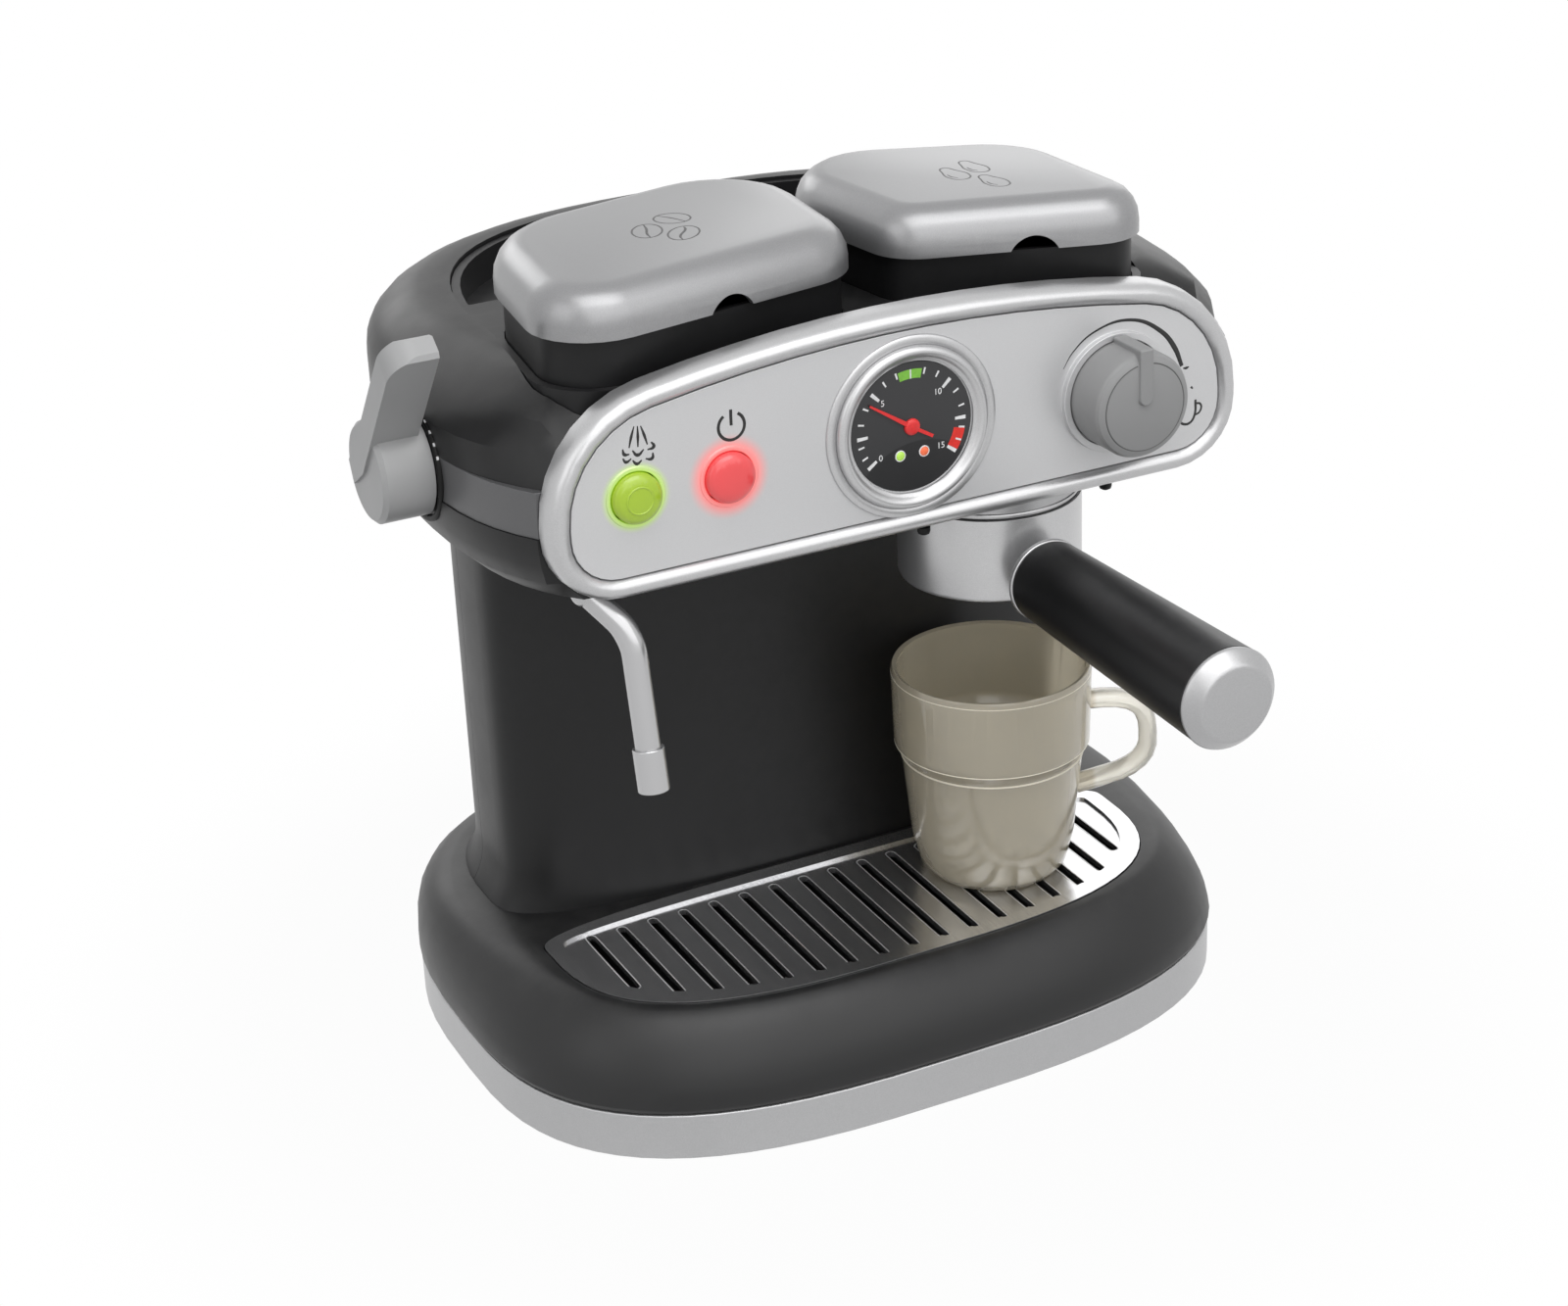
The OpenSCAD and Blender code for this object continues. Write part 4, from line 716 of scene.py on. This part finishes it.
for name, inner, outer, first, last, material in (
        ("dial_green_zone", ZONE_INNER, ZONE_OUTER, 77.5, 103.8, ink_green),
        ("dial_red_zone", 12.3, 15.5, -34.0, -12.4, ink_red)):
    zone = bmesh.new()
    dial_arc(zone, inner, outer, first, last, ZONE_THICK)
    printed_on_dial(name, zone, material)


NUMERAL_SIZE, NUMERAL_THICK = 2.3, 0.04


def numeral(text, x, z):
    """A printed number, made a mesh before it is placed"""
    words = bpy.data.curves.new("numeral", "FONT")
    words.body = text
    words.size = NUMERAL_SIZE
    words.align_x = "CENTER"
    words.align_y = "CENTER"
    words.extrude = NUMERAL_THICK
    shape = shape_of_curve(words, DRAWN_MERGE)
    bmesh.ops.translate(shape, vec=(x, z, 0), verts=shape.verts)
    printed_on_dial("dial_number_" + text, shape, ink_white)


for text, x, z in (("0", -8.9, -6.7), ("5", -8.0, 7.6), ("10", 7.6, 7.7), ("15", 8.2, -6.7)):
    numeral(text, x, z)

# Needle with its round hub and short tail
NEEDLE_THICK, NEEDLE_LIFT = 0.35, 0.55
needle = bmesh.new()
turned_bar(needle, 0.0, 14.2, 1.25, 146.5, NEEDLE_THICK, 0.5)
turned_bar(needle, 0.0, 6.6, 0.95, -31.0, NEEDLE_THICK, 0.85)
printed_on_dial("gauge_needle", needle, needle_red, NEEDLE_LIFT)


def spun(profile, steps=64):
    """Turned shape from its half profile, radius and height"""
    shape = bmesh.new()
    points = [shape.verts.new((radius, 0, height)) for radius, height in profile]
    edges = [shape.edges.new(pair) for pair in zip(points, points[1:])]
    bmesh.ops.spin(shape, geom=points + edges, cent=(0, 0, 0), axis=(0, 0, 1),
                   angle=math.tau, steps=steps, use_merge=True, use_duplicate=False)
    bmesh.ops.remove_doubles(shape, verts=shape.verts, dist=DRAWN_MERGE)
    return shape


def turned_on_dial(name, profile, x, z, material):
    """A small turned piece on the dial, placed from the dial's centre"""
    shape = spun(profile)
    to_metres(shape)
    on_panel(shape, x, DIAL_Z + z, DIAL_FACE)
    finish_piece(name, mesh_from(shape, name, TURNED_CREASE), "machine", material)


HUB = [(0, 0.95), (1.2, 0.93), (1.9, 0.75), (2.15, 0.45), (2.15, -0.05), (0, -0.05)]
DOT = [(0, 0.5), (0.6, 0.44), (1.05, 0.25), (1.2, 0.1), (1.2, -0.05), (0, -0.05)]
DOT_RIM = [(1.2, -0.02), (1.2, 0.14), (1.3, 0.2), (1.45, 0.14), (1.5, -0.02), (1.2, -0.02)]
DOT_Z = -7.2
turned_on_dial("gauge_needle_hub", HUB, 0, 0, needle_red)
# Printed dots on the dial with a painted glow, each in a white rim
for name, x, material in (("dial_green_dot", -3.4, green_dot_ink_painted_glow), ("dial_red_dot", 3.4, red_dot_ink_painted_glow)):
    turned_on_dial(name, DOT, x, DOT_Z, material)
    turned_on_dial(name + "_rim", DOT_RIM, x, DOT_Z, ink_white)


# ---- printed marks on the panel -----------------------------------------------------
def panel_mark(name, strokes):
    shape = drawn_strokes(strokes)
    on_panel(shape, 0, 0, PANEL_FACE)
    finish_piece(name, mesh_from(shape, name), "machine", ink_black)


panel_mark("steam_mark", [
    ([(-74.8, 202.5), (-75.7, 199.9), (-76.4, 197.3)], (0.25, 0.62, 0.3), False),
    ([(-73.9, 202.4), (-73.95, 199.8), (-74.1, 197.1)], (0.25, 0.62, 0.3), False),
    ([(-73.1, 202.3), (-72.3, 199.8), (-71.6, 197.2)], (0.25, 0.62, 0.3), False),
    ([(-78.1, 197.3), (-77.7, 195.9), (-76.4, 195.7)], (0.3, 0.75, 0.3), False),
    ([(-78.2, 195.0), (-77.4, 193.9), (-76.0, 194.5)], (0.3, 0.7, 0.3), False),
    ([(-75.6, 196.5), (-74.3, 195.1), (-72.6, 196.2)], (0.3, 0.8, 0.3), False),
    ([(-75.7, 194.0), (-74.6, 192.9), (-73.3, 193.6)], (0.3, 0.75, 0.3), False),
    ([(-70.6, 197.7), (-70.0, 196.4), (-71.7, 195.9)], (0.3, 0.8, 0.3), False),
    ([(-70.3, 194.9), (-70.6, 193.5), (-72.3, 193.7)], (0.3, 0.8, 0.3), False),
])

POWER_X, POWER_Z, POWER_RADIUS, POWER_LINE = -49.3, 197.3, 3.5, 0.68
panel_mark("power_mark", [
    ([on_circle(POWER_X, POWER_Z, POWER_RADIUS, a) for a in range(125, 420, 14)], (POWER_LINE,), False),
    ([(POWER_X, 201.6), (-49.33, 199.6), (-49.35, 197.5)], (POWER_LINE,), False),
])

KNOB_X, KNOB_Z = 59.7, 184.5
sweep = [(150, 17.9), (134, 18.1), (109, 18.3), (76, 18.9), (45, 19.3), (25, 19.8), (8, 20.5)]
panel_mark("knob_marks", [
    ([on_circle(KNOB_X, KNOB_Z, r, a) for a, r in sweep], (0.15, 0.3, 0.45, 0.7, 1.0, 1.2, 0.9), False),
    ([(80.4, 186.6), (81.4, 186.5), (82.2, 186.7)], (0.3, 0.7, 0.2), False),
    ([(82.9, 181.0), (83.5, 180.4)], (0.6, 0.3), False),
    ([(79.0, 177.0), (79.4, 172.5), (81.0, 171.0), (83.0, 171.2), (84.2, 173.0), (84.4, 177.2)],
     (0.6,), False),
    ([(84.4, 176.2), (86.0, 175.6), (85.8, 173.6), (84.0, 172.9)], (0.5,), False),
])


# ---- printed marks on the lids --------------------------------------------------------
LID_INK = 0.06


def oval(x, y, half_long, half_wide, degrees):
    """Twelve points round a turned oval"""
    turn = Matrix.Rotation(math.radians(degrees), 2)
    return [tuple(Vector((x, y)) + turn @ Vector((half_long * math.cos(t), half_wide * math.sin(t))))
            for t in (math.tau * k / 12 for k in range(12))]


def lid_mark(name, strokes, lid, body):
    shape = drawn_strokes(strokes, LID_INK)
    on_top(shape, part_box(lid)[1][2])
    finish_piece(name, mesh_from(shape, name), body, ink_line)


lid_mark("bean_mark", [
    (oval(-37.8, -8.2, 4.7, 4.3, -35), (0.42,), True),
    ([(-40.1, -4.4), (-37.8, -7.9), (-36.0, -12.4)], (0.3, 0.55, 0.3), False),
    (oval(-47.6, -14.5, 5.7, 3.8, 65), (0.42,), True),
    ([(-46.2, -9.2), (-46.9, -12.5), (-48.6, -16.9), (-49.0, -19.6)], (0.3, 0.6, 0.6, 0.3), False),
    (oval(-40.5, -21.0, 5.8, 3.8, 52), (0.42,), True),
    ([(-38.3, -16.3), (-38.7, -18.1), (-42.5, -23.3), (-43.0, -25.8)], (0.3, 0.6, 0.6, 0.3), False),
], "bean_lid", "bean_cover")
lid_mark("water_mark", [
    ([(48.0, -5.0), (45.7, -9.0), (45.1, -12.8), (46.4, -16.2), (49.0, -16.9),
      (50.8, -14.0), (50.0, -9.2)], (0.4,), True),
    ([(46.2, -10.9), (46.2, -13.2), (47.1, -14.9)], (0.25, 0.45, 0.25), False),
    ([(40.6, -8.0), (38.2, -12.2), (37.5, -16.4), (38.9, -19.4), (41.6, -19.8),
      (43.6, -16.4), (42.6, -11.8)], (0.4,), True),
    ([(38.6, -13.9), (38.6, -16.3), (39.5, -18.0)], (0.25, 0.45, 0.25), False),
    ([(45.8, -19.2), (43.5, -23.2), (42.9, -27.4), (44.3, -30.4), (46.9, -30.9),
      (48.9, -27.6), (47.8, -22.6)], (0.4,), True),
    ([(44.0, -25.0), (44.0, -27.4), (44.9, -29.1)], (0.25, 0.45, 0.25), False),
], "water_lid", "water_cover")

# ---- steam wand -----------------------------------------------------------------------
WAND_JOINT = Vector((-85.5, -50.0, 157.7))
WAND_ELBOW = WAND_JOINT + Vector((8.5, -8.0, -10.7))
wand_down = Vector((0.5, -7.0, -42.0)).normalized()
WAND_RADIUS, BALL_RADIUS, BALL_DROP = 3.3, 3.58, 0.6


def bent_tube(name, points, radius):
    """A round tube along a smooth path, in millimetres"""
    rod = bpy.data.curves.new(name, "CURVE")
    rod.dimensions = "3D"
    rod.bevel_depth = radius
    rod.bevel_resolution = 10
    rod.resolution_u = 10
    rod.use_fill_caps = True
    line = rod.splines.new("BEZIER")
    line.bezier_points.add(len(points) - 1)
    for knot, (place, reach) in zip(line.bezier_points, points):
        knot.co = place
        knot.handle_left = place - reach
        knot.handle_right = place + reach
    return shape_of_curve(rod, TUBE_MERGE)


slant = (WAND_ELBOW - WAND_JOINT).normalized()
wand = bent_tube("steam_wand_tube", [
    (WAND_JOINT + slant * 1.0, slant * 1.0),
    (WAND_ELBOW - slant * 6.0, slant * 2.2),
    (WAND_ELBOW + (wand_down - slant) * 1.6, (wand_down + slant).normalized() * 2.6),
    (WAND_ELBOW + wand_down * 7.0, wand_down * 2.6),
    (WAND_ELBOW + wand_down * 29.5, wand_down * 6.0),
], WAND_RADIUS)
ball = bmesh.ops.create_uvsphere(wand, u_segments=32, v_segments=16, radius=BALL_RADIUS)["verts"]
bmesh.ops.translate(wand, vec=WAND_JOINT - Vector((0, 0, BALL_DROP)), verts=ball)
to_metres(wand)
finish_piece("steam_wand_tube", mesh_from(wand, "steam_wand_tube", TURNED_CREASE), "wand",
             silver_wand, ("steam_wand",))


# ---- small trim: rings, seams, ticks and clips that the mouldings carry -------------------
def closed_ring(radius_in, radius_out, low, high):
    """Half profile of a flat ring with softened upper corners"""
    soft = min(0.35, (radius_out - radius_in) / 3, (high - low) / 2)
    return [(radius_in, low), (radius_in, high - soft), (radius_in + soft, high), (radius_out - soft, high),
            (radius_out, high - soft), (radius_out, low), (radius_in, low)]


def turned_piece(name, profile, direction, origin, body, material, steps=96):
    """A turned ring whose axis points along direction from origin, in millimetres"""
    shape = spun(profile, steps)
    to_metres(shape)
    turn = Vector(direction).to_track_quat("Z", "Y").to_matrix().to_4x4()
    bmesh.ops.transform(shape, matrix=Matrix.Translation(Vector(origin) * MM) @ turn, verts=shape.verts)
    finish_piece(name, mesh_from(shape, name, TURNED_CREASE), body, material)


TOWARDS_FRONT, TOWARDS_LEFT, UPWARDS = (0, -1, 0), (-1, 0, 0), (0, 0, 1)
KNOB_FACE = -76.6
GREEN_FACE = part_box("green_button")[0][1] / MM
turned_piece("gauge_seat", closed_ring(21.3, 24.0, -0.2, 0.7), TOWARDS_FRONT, (0, PANEL_FACE, DIAL_Z),
             "machine", silver_bezel)
# A dark grey ring on the knob's face: painted shade of its circular groove
turned_piece("knob_groove_painted_shade", closed_ring(11.4, 11.8, -0.2, 0.08), TOWARDS_FRONT,
             (KNOB_X, KNOB_FACE, KNOB_Z), "knob", knob_groove_shade_grey)
turned_piece("green_button_ring", closed_ring(3.1, 3.7, -0.4, 0.16), TOWARDS_FRONT,
             (GREEN_X, GREEN_FACE, CONTROL_Z), "green_push_button",
             green_lens)

# Dark ring behind the lever, with white ticks on its outer side
LEVER_Y, LEVER_Z = -6.0, 182.0
turned_piece("lever_scale", closed_ring(13.6, 15.2, -0.2, 0.8), TOWARDS_LEFT, (-109.4, LEVER_Y, LEVER_Z),
             "machine", seam_black)
lever_ticks = bmesh.new()
for angle in range(22, 75, 13):
    turned_bar(lever_ticks, 15.0, 15.32, 0.9, angle, 0.6)
to_metres(lever_ticks)
placed(lever_ticks, TOWARDS_FRONT, UPWARDS, TOWARDS_LEFT, (-109.7 * MM, LEVER_Y * MM, LEVER_Z * MM))
finish_piece("lever_ticks", mesh_from(lever_ticks, "lever_ticks"), "machine",
             ink_white)

# Ridges and rim line round the cup, which stands on the grille; the ridges are real, their paler cream is
# painted highlight
GRILLE_FACE = 37.6
RIDGE_IN, RIDGE_OUT, RIDGE_HALF = 0.6, 0.12, 0.22
for name, radius, height in (("cup_ridge_low", 25.32, 36.4), ("cup_ridge_high", 26.9, 40.0),
                             ("cup_rim_line", 27.5, 60.9)):
    ridge = closed_ring(radius - RIDGE_IN, radius + RIDGE_OUT, height - RIDGE_HALF, height + RIDGE_HALF)
    turned_piece(name, ridge, UPWARDS, (CUP_X, CUP_Y, GRILLE_FACE), "coffee_cup",
                 cup_ridge_painted_highlight)

# Rolled lip round each slot of the drip grille, whose front edge is a squared oval; the lip is real, its
# paler silver is painted highlight
GRILLE_X, GRILLE_HALF, GRILLE_REACH, SQUARENESS = -1.4, 82.5, 47.8, 3
SLOT_PITCH, SLOT_HALF, SLOT_BACK, SLOT_MID = 9.3, 1.3, -11.0, -13.8
LIP_OUT, LIP_LINE, LIP_THICK, LIP_CREASE = 0.12, 0.30, 0.5, 60
slot_lips = []
for number in range(-8, 9):
    across = number * SLOT_PITCH
    from_side = (abs(across) + SLOT_HALF) / GRILLE_HALF
    reach = GRILLE_REACH * (1 - from_side ** SQUARENESS) ** (1 / SQUARENESS)
    front, back, half = SLOT_MID - reach + SLOT_HALF, SLOT_BACK - SLOT_HALF, SLOT_HALF + LIP_OUT
    ends = [(front, range(180, 361, 30)), (back, range(0, 181, 30))]
    loop = [on_circle(GRILLE_X + across, y, half, a) for y, turn in ends for a in turn]
    slot_lips.append((loop, (LIP_LINE,), True))
lips = drawn_strokes(slot_lips, LIP_THICK)
on_top(lips, GRILLE_FACE * MM)
finish_piece("slot_lips", mesh_from(lips, "slot_lips", LIP_CREASE), "grille",
             slot_lip_painted_highlight)

# Bright line round the top of the group, above the cup, and the two dark clips under the panel
turned_piece("group_top_line", closed_ring(23.7, 24.5, 152.7, 153.5), UPWARDS, (CUP_X, CUP_Y, 0),
             "machine", silver_bezel)
CLIP = [(0, 0), (0.8, 0.05), (1.5, 0.45), (1.7, 1.1), (1.7, 2.2), (0, 2.2)]
CLIP_Z = 156.3
for side, x, y in (("left", 4.0, -60.4), ("right", 59.0, -59.0)):
    turned_piece("panel_clip_" + side, CLIP, UPWARDS, (x, y, CLIP_Z), "machine",
                 seam_black, steps=32)


# ---- floor, backdrop and lamps --------------------------------------------------------
WHITE = (1.0, 1.0, 1.0, 1.0)
PAPER_GREY = (0.48, 0.48, 0.48, 1.0)
ROOM_LIGHT, ROOM_STRENGTH = (0.82, 0.84, 0.87, 1.0), 0.42
SHADE_NEAR, SHADE_FAR, SHADE_WHITE = 0.14, 0.25, 0.96


def set_light(node, colour, strength):
    node.inputs["Color"].default_value = colour
    node.inputs["Strength"].default_value = strength


def shown_instead(tree, factor, usual, shown, end):
    """Puts a second shader in the place of the usual one on the rays that the factor picks"""
    join = tree.nodes.new("ShaderNodeMixShader")
    wire(tree, factor, join.inputs[0])
    wire(tree, usual.outputs[0], join.inputs[1])
    wire(tree, shown.outputs[0], join.inputs[2])
    wire(tree, join.outputs[0], end)


studio = bpy.data.materials.new("studio_white")
studio.use_nodes = True
tree = studio.node_tree
tree.nodes.remove(tree.nodes["Principled BSDF"])
paper = tree.nodes.new("ShaderNodeBsdfDiffuse")
paper.inputs["Color"].default_value = PAPER_GREY
bright = tree.nodes.new("ShaderNodeEmission")
set_light(bright, WHITE, 1.0)
seen = background_rays(tree)
spot = tree.nodes.new("ShaderNodeVectorMath")
spot.operation = "LENGTH"
wire(tree, tree.nodes.new("ShaderNodeTexCoord").outputs["Object"], spot.inputs[0])
fade = ramped(tree, spot.outputs["Value"], SHADE_NEAR, SHADE_FAR, SHADE_WHITE, 1.0, True)
shown_instead(tree, calc(tree, "MULTIPLY", seen, fade), paper, bright,
              tree.nodes["Material Output"].inputs["Surface"])

ground = bmesh.new()
bmesh.ops.create_grid(ground, x_segments=1, y_segments=1, size=6.0)
floor_mesh = bpy.data.meshes.new("studio_floor")
ground.to_mesh(floor_mesh)
ground.free()
floor_mesh.materials.append(studio)
floor = bpy.data.objects.new("studio_floor", floor_mesh)
bpy.context.scene.collection.objects.link(floor)

world = bpy.data.worlds.new("studio_world")
world.use_nodes = True
bpy.context.scene.world = world
tree = world.node_tree
ambient = tree.nodes["Background"]
set_light(ambient, ROOM_LIGHT, ROOM_STRENGTH)
white = tree.nodes.new("ShaderNodeBackground")
set_light(white, WHITE, 1.0)
shown_instead(tree, background_rays(tree), ambient, white, tree.nodes["World Output"].inputs["Surface"])


def soft_box(name, place, aim, size, power):
    """A square-cornered lamp panel that points at a place, its power in watts"""
    lamp = bpy.data.lights.new(name, "AREA")
    lamp.shape = "RECTANGLE"
    lamp.size, lamp.size_y = size
    lamp.energy = power
    holder = bpy.data.objects.new(name, lamp)
    bpy.context.scene.collection.objects.link(holder)
    holder.location = place
    holder.rotation_euler = (Vector(aim) - Vector(place)).to_track_quat("-Z", "Y").to_euler()


soft_box("left_panel", (-1.3, -0.3, 0.8), (0, 0, 0.14), (0.9, 0.9), 2.5)
soft_box("front_panel", (0.1, -1.3, 1.0), (0, -0.03, 0.14), (2.4, 1.4), 13.5)
soft_box("top_panel", (-0.10, -0.55, 1.30), (0, -0.02, 0.14), (1.3, 0.7), 8)
soft_box("back_left", (-0.14, 1.25, 0.63), (-0.08, 0.03, 0.20), (0.55, 0.40), 1.5)
soft_box("back_right", (0.85, 0.95, 0.60), (0.06, -0.02, 0.05), (0.7, 0.7), 1.3)
